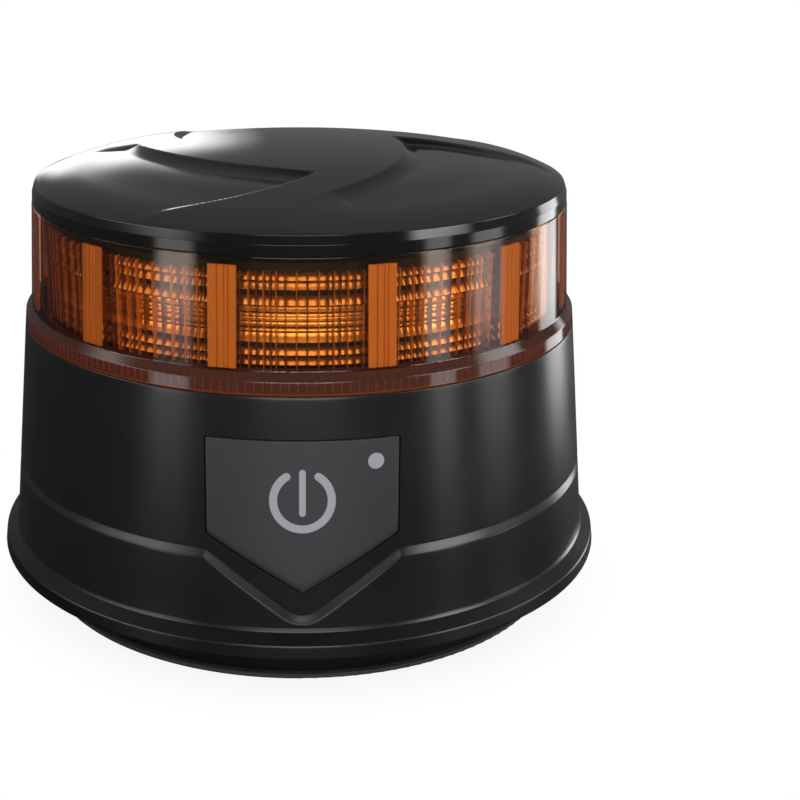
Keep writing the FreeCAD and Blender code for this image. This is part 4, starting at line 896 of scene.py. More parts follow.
@dataclass
class Button:
    """Dark grey push button: nearly flush at its top, and proud at its tip, where its edges roll away."""

    outline: FiveSides = FiveSides(19.75, 56.3, 24.04, 31.0, 0.45, 0.8)
    # Radius of the face at its tip and its top, how wide and deep its lower edges roll away, and the rounding
    # of the other edges.
    face: tuple[float, float] = (70.155, 66.07)
    roll: float = 1.6
    roll_depth: float = 0.85
    edge: float = 0.2
    # Distances of the flat back and of the lip's front from the axis, and how far the lip stands out.
    back: float = 57.3
    lip: float = 1.4
    lip_front: float = 58.8
    # How far the face lies below the inlay, so that the two don't share one surface.
    hair: float = 0.02
    # Points across: first, last and step of each zone from the middle, then single ones towards the side.
    zones: tuple[Point, ...] = ((0.0, 1.0, 0.2), (1.0, 19.1, 0.6))
    marks: tuple[float, ...] = (19.2, 19.33, 19.45, 19.55, 19.63, 19.69, 19.73)
    # Rows: distances from the lower edge, how many lie between, and distances from the upper edge.
    near: tuple[float, ...] = (0.0, 0.03, 0.08, 0.16, 0.28, 0.45, 0.68, 0.95, 1.3, 1.8)
    between: int = 12
    far: tuple[float, ...] = (0.35, 0.2, 0.12, 0.06, 0.02, 0.0)

    def sink(self, across: float, height: float) -> float:
        """How far the face drops at its edges.

        Args:
            across: Distance from the middle.
            height: Height.

        Returns:
            The drop.
        """
        low, high = self.outline.edges(across)
        near = (height - low) * math.cos(math.radians(self.outline.slope))
        rim = min(high - height, self.outline.half - abs(across))
        return sum(deep * (1 - math.sqrt(1 - max(0.0, 1 - gap / wide) ** 2))
                   for deep, wide, gap in ((self.roll_depth, self.roll, near), (self.edge, self.edge, rim)))

    def build(self, shop: Shop) -> None:
        """Makes the button.

        Args:
            shop: The finishes.
        """
        net = Net()
        shape = self.outline
        half = np.concatenate([*[np.arange(*zone) for zone in self.zones], self.marks, [shape.half]])
        rise = (self.face[1] - self.face[0]) / (shape.top - shape.tip)
        rows: list[list[int]] = [[] for _ in range(len(self.near) + self.between + len(self.far))]
        for x in mirrored(half):
            low, high = shape.edges(x)
            first, last = low + self.near[-1], high - self.far[0]
            levels = [low + d for d in self.near]
            levels += list(np.linspace(first, last, self.between + 2)[1:-1])
            levels += [high - d for d in self.far]
            for k, z in enumerate(levels):
                r = self.face[0] + rise * (z - shape.tip) - self.sink(x, z) - self.hair
                rows[k] += net.row([(x, -math.sqrt(r * r - x * x), z)])
        rim = net.sheet(rows)
        wide = replace(shape, half=shape.half + self.lip, top=shape.top + self.lip,
                       tip=shape.tip - self.lip / math.cos(math.radians(shape.slope)))
        flat, brim = [], []
        for i in rim:
            x, _, z = net.points[i]
            out = x * wide.half / shape.half
            low, high = shape.edges(x)
            brim_low, brim_high = wide.edges(out)
            flat.append((x, z))
            brim.append((out, brim_low + (z - low) / (high - low) * (brim_high - brim_low)))
        rings = [rim] + [net.row((x, -y, z) for x, z in plan)
                         for plan, y in ((flat, self.lip_front), (brim, self.lip_front), (brim, self.back))]
        for lower, upper in zip(rings, rings[1:]):
            net.band(lower, upper)
        net.faces.append(tuple(rings[-1]))
        piece = stand("push_button", net.mesh("push_button", crease=50.0))
        shop.dress(piece, Shop.BUTTON)
        take(piece, "power_button", "button_grey", "button")


@dataclass
class Housing:
    """Tapered black shell: the groove with its V, the button's window and the charging recess at the back."""

    # Radius and height of the outer wall's foot, and further on of its top.
    foot: tuple[float, float] = (69.8, 15.2)
    # Heights above the foot, and how far the small slanted lip stands out there.
    lip: tuple[tuple[float, float], ...] = ((0.0, 0.3), (0.06, 0.27), (0.55, 0.05), (0.65, 0.01), (0.85, 0.0))
    top: tuple[float, float] = (65.0, 65.4)
    top_round: float = 0.25
    wall: float = 2.6
    # Thickness of the deck, the radii of two rows of points on it, and its bore.
    deck: float = 2.8
    deck_radii: tuple[float, float] = (63.0, 30.0)
    bore: float = 9.0
    # Half the width of the parts at the front and back whose columns keep their x.
    front_half: float = 24.0
    back_half: float = 14.0
    groove_height: float = 31.3
    groove_half: float = 1.1
    groove_depth: float = 0.8
    # Places across the groove, as shares of its half width, where it starts, is deepest and ends, and how far
    # those corners are eased.
    groove_profile: tuple[float, float, float] = (-1.0, 0.66, 0.94)
    groove_ease: float = 0.08
    # The V: where it starts, how far that bend reaches to both sides, its slope and half its tip's width.
    groove_turn: float = 20.3
    groove_bend: float = 0.9
    groove_slope: float = 36.0
    groove_tip: float = 3.8
    opening: FiveSides = FiveSides(20.05, 56.6, 23.69, 31.0, 0.75, 1.1)
    recess_half: float = 12.0
    recess_rows: tuple[float, ...] = (38.0, 40.25, 42.1, 45.9, 47.75, 53.2)
    recess_floor: float = 63.9
    # How far back the inner wall goes there, and for each step of the recess half its width, its lower and
    # upper edge and its floor.
    recess_back: float = 57.0
    mouth: tuple[float, float, float, float] = (6.5, 40.25, 47.75, 62.7)
    socket_slot: tuple[float, float, float, float] = (4.7, 42.1, 45.9, 58.6)
    # Rows of points across the groove, and as shares of the wall below and above the window.
    groove_marks: tuple[float, ...] = (
        -1.4, -1.12, -1.0, -0.88, -0.5, 0.0, 0.4, 0.6, 0.7, 0.8, 0.88, 0.95, 1.0, 1.12, 1.4)
    rows_below: tuple[float, ...] = (0.3, 0.6, 0.85)
    rows_above: tuple[float, ...] = (0.2, 0.55, 0.9, 0.97)
    # Columns: first, last and step of each zone from the middle of the front, single ones towards the side of
    # the window and past it, those from the middle of the back, and how many each side has.
    front_zones: tuple[Point, ...] = ((0.0, 2.4, 0.3), (2.4, 17.2, 0.62), (17.4, 19.3, 0.25))
    front_marks: tuple[float, ...] = (
        19.4, 19.6, 19.75, 19.87, 19.96, 20.02, 20.25, 20.6, 21.0, 21.5, 22.2, 23.1)
    back_marks: tuple[float, ...] = (0.0, 1.55, 3.1, 4.7, 6.5, 8.4, 10.2, 12.0, 13.0, 14.0)
    side_columns: int = 74

    def radius(self, height: float) -> float:
        """Radius of the outer wall at a height."""
        share = (height - self.foot[1]) / (self.top[1] - self.foot[1])
        return self.foot[0] + share * (self.top[0] - self.foot[0])

    def columns(self) -> list[Column]:
        """Lists the columns in order round the housing.

        Returns:
            Columns from the left of the front round to the right, the back and the left.
        """
        front = mirrored(np.concatenate([*[np.arange(*zone) for zone in self.front_zones], self.front_marks,
                                         [self.opening.half, self.front_half]]))
        side = np.linspace(0.0, 1.0, self.side_columns + 2)[1:-1]
        return [Column(part, float(value)) for part, values in (
            (Side.FRONT, front), (Side.RIGHT, side), (Side.BACK, reversed(mirrored(self.back_marks))),
            (Side.LEFT, reversed(side))) for value in values]

    def spot(self, column: Column, radius: float, height: float) -> Point:
        """Point of a column at a radius and height.

        Args:
            column: The column.
            radius: Distance from the axis.
            height: Height.

        Returns:
            The point.
        """
        x = column.value
        if column.side is Side.FRONT:
            return (x, -math.sqrt(radius ** 2 - x ** 2), height)
        if column.side is Side.BACK:
            return (x, math.sqrt(radius ** 2 - x ** 2), height)
        first = math.asin(self.front_half / radius)
        last = math.pi - math.asin(self.back_half / radius)
        angle = first + x * (last - first)
        across = radius * math.sin(angle)
        return (across if column.side is Side.RIGHT else -across, -radius * math.cos(angle), height)

    def groove(self, column: Column) -> tuple[float, float]:
        """Height of the groove's middle on a column, and its half width along the column.

        Args:
            column: The column.

        Returns:
            Height and half width.
        """
        if column.side is not Side.FRONT:
            return self.groove_height, self.groove_half
        across, tip, bend = abs(column.value), self.groove_tip, self.groove_bend
        slope, lean = math.tan(math.radians(self.groove_slope)), min(1.0, across / tip)
        reach = across if across > tip else (across ** 2 + tip ** 2) / (2 * tip)
        drop = self.groove_turn - reach
        if drop <= -bend:
            return self.groove_height, self.groove_half
        if drop < bend:
            lean *= (drop + bend) / (2 * bend)
            drop = (drop + bend) ** 2 / (4 * bend)
        return self.groove_height - slope * drop, self.groove_half * math.hypot(1.0, slope * lean)

    def window(self, column: Column) -> tuple[float, float]:
        """Lower and upper edge of the opening on a column, or where its rows go on the plain wall.

        Args:
            column: The column.

        Returns:
            Lower and upper height.
        """
        if column.side is Side.BACK:
            return self.recess_rows[0], self.recess_rows[-1]
        if column.side is Side.FRONT:
            return self.opening.edges(column.value)
        low, high = self.opening.edges(self.opening.half)
        return (low + column.value * (self.recess_rows[0] - low),
                high + column.value * (self.recess_rows[-1] - high))

    def cut(self, mark: float) -> float:
        """Depth of the groove across its width.

        Args:
            mark: Place across it, from -1 at its lower edge to 1 at its upper edge.

        Returns:
            Depth.
        """
        spread = mark + np.linspace(-self.groove_ease, self.groove_ease, 9)
        return float(np.mean(np.interp(spread, self.groove_profile, (0.0, self.groove_depth, 0.0))))

    @staticmethod
    def spanned(columns: list[Column], side: Side, reach: float) -> list[int]:
        """Finds the columns with an opening between them and the next.

        Args:
            columns: All columns.
            side: Side of the opening.
            reach: Half the width of the opening.

        Returns:
            Their numbers.
        """
        pairs = zip(columns, columns[1:] + columns[:1])
        return [i for i, pair in enumerate(pairs)
                if all(c.side is side and abs(c.value) <= reach + 1e-6 for c in pair)]

    def build(self, shop: Shop) -> None:
        """Makes the housing.

        Args:
            shop: The finishes.
        """
        net = Net()
        columns = self.columns()
        foot, top, under = self.foot[1], self.top[1], self.top[1] - self.deck
        low, high = np.array([self.window(c) for c in columns]).T
        middle, half = np.array([self.groove(c) for c in columns]).T
        shares = [(z - self.recess_rows[0]) / (self.recess_rows[-1] - self.recess_rows[0])
                  for z in self.recess_rows]
        level = np.ones(len(columns))

        def ring(heights: np.ndarray, inset: float = 0.0) -> list[int]:
            """Adds one row, this far inside the outer wall."""
            return net.row(self.spot(c, self.radius(z) - inset, z) for c, z in zip(columns, heights))

        # Up the outer wall, over its rounded top edge, across the deck and down the inner wall.
        rows = [ring(level * (foot + up), -out) for up, out in self.lip]
        rows.append(ring(foot + 0.5 * (middle + self.groove_marks[0] * half - foot)))
        rows += [ring(middle + mark * half, self.cut(mark)) for mark in self.groove_marks]
        past_groove = middle + self.groove_marks[-1] * half
        rows += [ring((1 - share) * past_groove + share * low) for share in self.rows_below]
        first_open = len(rows)
        rows += [ring(low + share * (high - low)) for share in shares]
        last_open = len(rows) - 1
        rows += [ring(high + share * (top - high)) for share in self.rows_above]
        for turn in np.radians((22.5, 45.0, 67.5, 90.0)):
            rows.append(ring(level * (top - self.top_round * (1 - math.sin(turn))),
                             self.top_round * (1 - math.cos(turn))))
        outer, near = self.deck_radii
        for r, z in ((outer, top), (near, top), (self.bore, top), (self.bore, under), (near, under)):
            # The bore is narrower than the front's columns reach, so its points come from the next row.
            scale = min(1.0, r / near)
            points = [self.spot(c, max(r, near), z) for c in columns]
            rows.append(net.row((x * scale, y * scale, height) for x, y, height in points))
        rows.append(ring(level * under, self.wall))
        first_inner = len(rows)
        for share in reversed(shares):
            heights = low + share * (high - low)
            points = [self.spot(c, self.radius(z) - self.wall, z) for c, z in zip(columns, heights)]
            rows.append(net.row((x, min(y, self.recess_back) if c.side is Side.BACK else y, z)
                                for c, (x, y, z) in zip(columns, points)))
        last_inner = len(rows) - 1
        rows.append(ring(level * foot, self.wall))

        window = self.spanned(columns, Side.FRONT, self.opening.half)
        recess = self.spanned(columns, Side.BACK, self.recess_half)
        count = len(columns)
        for k, (lower, upper) in enumerate(zip(rows, rows[1:] + rows[:1])):
            outside = first_open <= k < last_open
            inside = first_inner <= k < last_inner
            for i in range(count):
                if (outside and (i in window or i in recess)) or (inside and i in window):
                    continue
                j = (i + 1) % count
                net.faces.append((lower[i], lower[j], upper[j], upper[i]))
        skin = rows[first_open:last_open + 1]
        self.line_window(net, skin, rows[first_inner:last_inner + 1][::-1], window)
        self.sink_recess(net, skin, columns, recess)
        piece = stand("tapered_housing", net.mesh("tapered_housing", crease=40.0))
        shop.dress(piece, Shop.BODY)
        take(piece, "light", "black_plastic", "housing")

    @staticmethod
    def line_window(net: Net, skin: list[list[int]], inner: list[list[int]], spans: list[int]) -> None:
        """Closes the wall round the button's window.

        Args:
            net: The housing's mesh.
            skin: Rows of the outer wall over the window, from its lower edge up.
            inner: The same rows of the inner wall.
            spans: Columns with the window between them and the next.
        """
        for k in (0, -1):
            for i in spans:
                net.faces.append((skin[k][i], skin[k][i + 1], inner[k][i + 1], inner[k][i]))
        for i in (spans[0], spans[-1] + 1):
            for k in range(len(skin) - 1):
                net.faces.append((skin[k][i], skin[k + 1][i], inner[k + 1][i], inner[k][i]))

    def sink_recess(self, net: Net, skin: list[list[int]], columns: list[Column], spans: list[int]) -> None:
        """Makes the stepped recess of the charging connector.

        Args:
            net: The housing's mesh.
            skin: Rows of the outer wall over the recess, from its lower edge up.
            columns: All columns.
            spans: Columns with the recess between them and the next.
        """
        made: dict[tuple[int, int, float], int] = {}

        def level(i: int, k: int) -> float:
            """Finds how deep one cell of the recess is.

            Args:
                i: Number of its first column.
                k: Number of its lower row.

            Returns:
                Distance of its floor from the middle, or zero outside the recess.
            """
            if i not in spans or not 0 <= k < len(skin) - 1:
                return 0.0
            x = abs(columns[i].value + columns[i + 1].value) / 2
            z = (self.recess_rows[k] + self.recess_rows[k + 1]) / 2
            for reach, bottom, ceiling, floor in (self.socket_slot, self.mouth):
                if x < reach and bottom < z < ceiling:
                    return floor
            return self.recess_floor

        def at(i: int, k: int, depth: float) -> int:
            """Gives a point of the recess, made at first use.

            Args:
                i: Number of its column.
                k: Number of its row.
                depth: Its distance from the middle, or zero for the point on the wall.

            Returns:
                Number of the point.
            """
            if depth == 0.0:
                return skin[k][i]
            if (i, k, depth) not in made:
                made[i, k, depth] = net.row([(columns[i].value, depth, self.recess_rows[k])])[0]
            return made[i, k, depth]

        for i in range(spans[0] - 1, spans[-1] + 2):
            for k in range(-1, len(skin)):
                here = level(i, k)
                cell = ((i, k), (i + 1, k), (i + 1, k + 1), (i, k + 1))
                if here:
                    net.faces.append(tuple(at(*corner, here) for corner in cell))
                # Walls to the next cell across and to the next one up, where their depths differ.
                for start, other in ((cell[1], level(i + 1, k)), (cell[3], level(i, k + 1))):
                    if here != other:
                        net.faces.append((at(*start, here), at(*cell[2], here),
                                          at(*cell[2], other), at(*start, other)))


@dataclass
class Lantern:
    """Amber lens and the prism optic behind it: twelve windows of flutes and ribs between smooth posts."""

    sectors: int = 12
    first_post: float = 15.0
    post_width: float = 5.9
    # Heights of the posts' foot and top, the radii of their fronts there, and how thick they are.
    post_heights: tuple[float, float] = (70.3, 91.4)
    post_radii: tuple[float, float] = (62.75, 61.75)
    post_thick: float = 0.6
    optic_foot: float = 66.6
    optic_top: float = 90.4
    core: tuple[float, float] = (57.0, 58.1)
    # Widths of the flutes across a window, as shares of their sum.
    flutes: tuple[float, ...] = (63, 57, 54, 48, 44, 66, 82, 80, 82, 66, 44, 48, 54, 57, 63)
    # Height that the ribs count down from; depths of each rib's upper and lower edge, its tilt and its glow,
    # the painted light that brightens its prisms.
    rib_datum: float = 91.17
    ribs: tuple[tuple[float, float, float, float], ...] = (
        (1.83, 3.36, 30.0, 0.15), (3.52, 5.35, 24.0, 0.30), (6.51, 8.47, 29.0, 0.25),
        (8.81, 10.00, 18.0, 0.85), (10.24, 10.92, 26.0, 0.60), (11.16, 11.93, 18.0, 0.90),
        (12.14, 13.06, 20.0, 0.80), (13.30, 13.98, 28.0, 0.45), (14.28, 16.36, 18.0, 1.00),
        (17.46, 18.99, 29.0, 0.30), (19.42, 20.95, 33.0, 0.15))
    # Radius at which the prisms' width is taken, how much of a flute they fill, how much of each is behind
    # its place, and how much of their painted glow is lost towards the posts and how fast: painted shade
    # towards the sides of each window.
    rib_radius: float = 59.0
    rib_fill: float = 0.9
    rib_root: float = 0.25
    painted_glow_loss: float = 0.45
    painted_glow_loss_power: float = 1.5
    # Fins: how far they reach into and out of the core, half their thickness there, and how far they end from
    # the optic's foot and top.
    fin_reach: tuple[float, float] = (0.1, 1.25)
    fin_half: tuple[float, float] = (0.11, 0.06)
    fin_ends: tuple[float, float] = (2.4, 0.8)
    # Fine lines on each post: their places across it, depth and width.
    post_lines: tuple[float, ...] = (-1.1, 0.35, 1.2)
    line_depth: float = 0.42
    line_width: float = 0.15
    # Lens: radius, height and rounding of its corners, the least radius and greatest height of its lowest
    # edge, and the top of its thick foot.
    outline: tuple[Point, ...] = (
        (61.2, 65.4, 0.0), (62.5, 65.4, 0.0), (62.5, 66.2, 0.0), (63.9, 66.2, 0.0), (63.9, 65.4, 0.0),
        (65.0, 65.4, 0.3), (64.93, 66.05, 0.0), (64.7, 68.3, 0.45), (63.3, 70.2, 0.5),
        (62.0, 93.3, 0.2), (60.0, 93.3, 0.0), (61.2, 70.2, 0.0))
    lowest_edge: tuple[float, float] = (64.2, 66.05)
    foot_top: float = 70.0
    # Small ribs in that foot: how many in each sector, their radius and height, and their plan and ends.
    foot_ribs: int = 19
    foot_rib_place: tuple[float, float] = (64.25, 67.1)
    foot_rib_plan: tuple[tuple[float, float], ...] = (
        (-0.25, -0.14), (0.25, -0.1), (0.25, 0.1), (-0.25, 0.14))
    foot_rib_ends: tuple[float, float] = (-1.05, 0.95)
    lens_segments: int = 288
    core_segments: int = 240
    seed: int = 7

    def build(self, shop: Shop) -> None:
        """Makes the lens, the optic and the marks in the lens's foot.

        Args:
            shop: The finishes.
        """
        self.lens(shop)
        self.prisms(shop)
        self.fins(shop)
        self.posts(shop)
        self.backing(shop)
        self.ticks(shop)

    def lens(self, shop: Shop) -> None:
        """Makes the lens: a smooth wall over a stepped foot.

        Args:
            shop: The finishes.
        """
        net = Net()
        net.turn(rounded(self.outline), self.lens_segments)
        mesh = net.mesh("amber_lens", crease=42.0)
        piece = stand("amber_lens", mesh)
        shop.dress(piece, Shop.LENS, Shop.FOOT, Shop.HIGHLIT_EDGE)
        for face in mesh.polygons:
            height = face.center.z / MM
            out = math.hypot(face.center.x, face.center.y) / MM
            # The lowest edge gets the painted highlight; the foot and the wall keep their own finishes.
            lowest = out > self.lowest_edge[0] and height < self.lowest_edge[1]
            face.material_index = 2 if lowest else 1 if height < self.foot_top else 0
        take(piece, "light", "amber_lens", "lens")

    def prism(self) -> bpy.types.Mesh:
        """Makes one prism of unit size: a face that leans up, a short return below it and sides to the back.

        Returns:
            The mesh.
        """
        net = Net()
        across = (-0.5, -0.3, 0.0, 0.3, 0.5)
        up = ((-0.5, 0.0), (-0.44, 0.9), (-0.1, 0.62), (0.44, 0.12), (0.5, 0.0))
        root, bulge, end, depth = self.rib_root, 0.14, 0.9, 0.6
        rows = []
        for v, out in up:
            share = 1.0 if abs(v) < 0.5 else end
            proud = [(root + out + bulge * (1 - (2 * u) ** 2)) * share for u in across]
            rows.append(net.row((p - root, u, v) for p, u in zip(proud, across)))
        rim = net.sheet(rows)
        back = net.row((-depth, net.points[i][1], net.points[i][2]) for i in rim)
        net.band(rim, back)
        net.faces.append(tuple(back))
        net.points = [(x / MM, y / MM, z / MM) for x, y, z in net.points]
        return net.mesh("prism", crease=50.0)

    def flute_edges(self) -> np.ndarray:
        """Finds the edges of the flutes across a window, and out to behind the posts.

        Returns:
            Angles in degrees from the window's middle.
        """
        sector = 360.0 / self.sectors
        span = sector - 2 * math.degrees(self.post_width / 2 / self.post_radii[1])
        window = np.concatenate([[0.0], np.cumsum(self.flutes)]) / sum(self.flutes) * span - span / 2
        return np.concatenate([[-sector / 2], window, [sector / 2]])

    def fins(self, shop: Shop) -> None:
        """Sets a thin upright fin between each two flutes: a line from the front, a stripe from the side.

        Args:
            shop: The finishes.
        """
        net = Net()
        inner, outer = self.core[1] - self.fin_reach[0], self.core[1] + self.fin_reach[1]
        root, tip = self.fin_half
        plan = ((inner, -root), (outer, -tip), (outer, tip), (inner, root))
        net.bar(*[[(x, y, z) for x, y in plan]
                  for z in (self.optic_foot + self.fin_ends[0], self.optic_top - self.fin_ends[1])])
        # Every other fin gets a painted glow: painted light that makes it bright.
        chance = np.random.default_rng(self.seed + 1)
        places = [Place(float(turn), 0.0, 0.0, glow=float(chance.uniform(0.0, 0.2)) + 0.75 * (i % 2))
                  for i, turn in enumerate(self.flute_edges()[1:])]
        piece = ringed("optic_fins", net.mesh("fin"), places, self.sectors, shop.get(Shop.FIN),
                       first_turn=-90.0)
        take(piece, "light", "amber_optic", "optic_ring")

    def prisms(self, shop: Shop) -> None:
        """Sets the prisms in the windows.

        Args:
            shop: The finishes.
        """
        chance = np.random.default_rng(self.seed)
        edges = self.flute_edges()
        span = edges[-1] - edges[0]
        places = []
        for left, right in zip(edges, edges[1:]):
            turn = (left + right) / 2
            width = math.radians(right - left) * self.rib_radius * self.rib_fill
            # The painted glow fades towards the posts: painted shade at the sides of each window.
            aim = 1.0 - self.painted_glow_loss * abs(2 * turn / span) ** self.painted_glow_loss_power
            for upper, lower, tilt, glow in self.ribs:
                tall = lower - upper
                deep = tall * math.tan(math.radians(tilt))
                places.append(Place(
                    turn, self.core[1] + self.rib_root * deep, self.rib_datum - (upper + lower) / 2,
                    (deep * MM, width * MM, tall * MM), glow * aim * chance.uniform(0.85, 1.0)))
        piece = ringed("optic_prisms", self.prism(), places, self.sectors, shop.get(Shop.PRISM),
                       first_turn=-90.0)
        piece.data.set_sharp_from_angle(angle=math.radians(50.0))
        take(piece, "light", "amber_optic", "optic_ring")

    def posts(self, shop: Shop) -> None:
        """Makes the smooth posts inside the lens between the windows, each with three fine upright lines.

        Args:
            shop: The finishes.
        """
        net = Net()
        half = self.post_width / 2
        ends = []
        for radius, z in zip(self.post_radii, self.post_heights):
            front = []
            for y in np.linspace(-half, half, 61):
                sink = sum(self.line_depth * math.exp(-((y - line) / self.line_width) ** 2)
                           for line in self.post_lines)
                front.append((math.sqrt(radius ** 2 - y ** 2) - sink, y, z))
            back = radius - self.post_thick
            ends.append(front + [(math.sqrt(back ** 2 - y ** 2), y, z) for y in (half, 0.0, -half)])
        net.bar(*ends)
        piece = ringed("lens_posts", net.mesh("post", crease=50.0), [Place(0.0, 0.0, 0.0)], self.sectors,
                       shop.get(Shop.POST), first_turn=-90.0 + self.first_post)
        take(piece, "light", "amber_lens", "lens")

    def backing(self, shop: Shop) -> None:
        """Makes the ring that carries the prisms.

        Args:
            shop: The finishes.
        """
        net = Net()
        inner, outer = self.core
        net.turn(rounded([(inner, self.optic_foot, 0.0), (outer, self.optic_foot, 0.15),
                          (outer, self.optic_top, 0.15), (inner, self.optic_top, 0.0)]), self.core_segments)
        piece = stand("optic_core", net.mesh("optic_core"))
        # Its near-black finish is painted shade.
        shop.dress(piece, Shop.SHADED_CORE)
        take(piece, "light", "amber_optic", "optic_ring")

    def ticks(self, shop: Shop) -> None:
        """Makes the fine upright ribs moulded inside the lens's foot.

        Args:
            shop: The finishes.
        """
        net = Net()
        net.bar(*[[(x, y, z) for x, y in self.foot_rib_plan] for z in self.foot_rib_ends])
        pitch = 360.0 / self.sectors / self.foot_ribs
        places = [Place((i + 0.5) * pitch, *self.foot_rib_place) for i in range(self.foot_ribs)]
        piece = ringed("lens_foot_ribs", net.mesh("rib"), places, self.sectors, shop.get(Shop.TICK))
        take(piece, "light", "amber_lens", "lens")


@dataclass
class Cover:
    """Rubber cover of the charging connector, and the strip of it that is held in the housing."""

    round: float = 0.35
    # CAD points closer than this are one. Faces within the first angle are flat, edges past the second round.
    weld: float = 0.002
    flat_angle: float = 1.0
    edge_angle: float = 50.0

    def softened(self, node: str, name: str) -> bpy.types.Object:
        """Copies a CAD node and rounds its edges.

        Args:
            node: Name of the node.
            name: Name of the new piece.

        Returns:
            The piece.
        """
        source = next(o for o in bpy.data.objects if o.name == node)
        shape = bmesh.new()
        shape.from_mesh(source.data)
        bmesh.ops.remove_doubles(shape, verts=shape.verts, dist=self.weld * MM)
        bmesh.ops.dissolve_limit(shape, angle_limit=math.radians(self.flat_angle), verts=shape.verts,
                                 edges=shape.edges)
        edges = [e for e in shape.edges
                 if len(e.link_faces) == 2 and e.calc_face_angle() > math.radians(self.edge_angle)]
        bmesh.ops.bevel(shape, geom=edges, offset=self.round * MM, segments=3, profile=0.5, affect="EDGES",
                        clamp_overlap=True)
        mesh = bpy.data.meshes.new(name)
        shape.to_mesh(mesh)
        shape.free()
        shade_faces(mesh, 40.0)
        return stand(name, mesh)

    def build(self, shop: Shop) -> None:
        """Makes the cover and its anchor.

        Args:
            shop: The finishes.
        """
        for node, body in (("charge_flap", "charge_cover"), ("flap_anchor", "light")):
            piece = self.softened(node, node + "_rubber")
            shop.dress(piece, Shop.FLAP)
            take(piece, body, "flap_rubber", node)


@dataclass
class CadPieces:
    """Pieces whose CAD shape is right and that only need their finish."""

    finishes: tuple[tuple[Finish, tuple[str, ...]], ...] = (
        (Shop.BASE, ("base",)),
        (Shop.PAD, ("base_pad",)),
        (Shop.INLAY, ("power_symbol", "status_light_pipe")),
        (Shop.SEAL, ("housing_gasket", "lens_gasket", "cap_gasket", "deck_grommet")),
        (Shop.TRAY, ("battery_tray", "battery_strap")),
        (Shop.SWITCH, ("tact_switch", "switch_plunger", "control_chips", "charge_tongue")),
        (Shop.WRAP, ("battery_cells",)),
        (Shop.WIRE, ("battery_leads", "led_leads")),
        (Shop.LED, ("leds", "status_led")),
        (Shop.SINK, ("heat_sink",)),
        (Shop.STEEL, ("magnet_cups", "board_screws", "tray_screws", "heat_sink_screws", "base_screws",
                      "cap_screws", "charge_socket", "antenna", "radio_module")),
        (Shop.MAGNET, ("magnets",)),
        (Shop.MIRROR, ("reflector_ring",)),
        (Shop.UPPER_MIRROR, ("upper_reflector",)),
        (Shop.LED_BOARD, ("led_boards",)),
        (Shop.CIRCUIT, ("control_board", "charge_board")))

    def dress(self, shop: Shop) -> None:
        """Gives each CAD node its finish.

        Args:
            shop: The finishes.
        """
        for finish, nodes in self.finishes:
            for node in nodes:
                shop.dress(bpy.data.objects[node], finish)
                LOG.info("%s: %s", node, finish.name)


# ---------------------------------------------------------------------------------------------------------
# Studio
# ---------------------------------------------------------------------------------------------------------

@dataclass(frozen=True)
class Card:
    """White card that the gloss shows: its way round from the camera in degrees, to the right, its height as
    an angle, how bright it is, and which share of it fades out at each edge."""

    name: str
    around: tuple[float, float]
    up: tuple[float, float]
    strength: float
    fade: float = 0.16


@dataclass(frozen=True)
class Lamp:
    """Soft square lamp that looks at the light: its place and side in metres, and its power in watts."""

    name: str
    place: Point
    side: float
    power: float


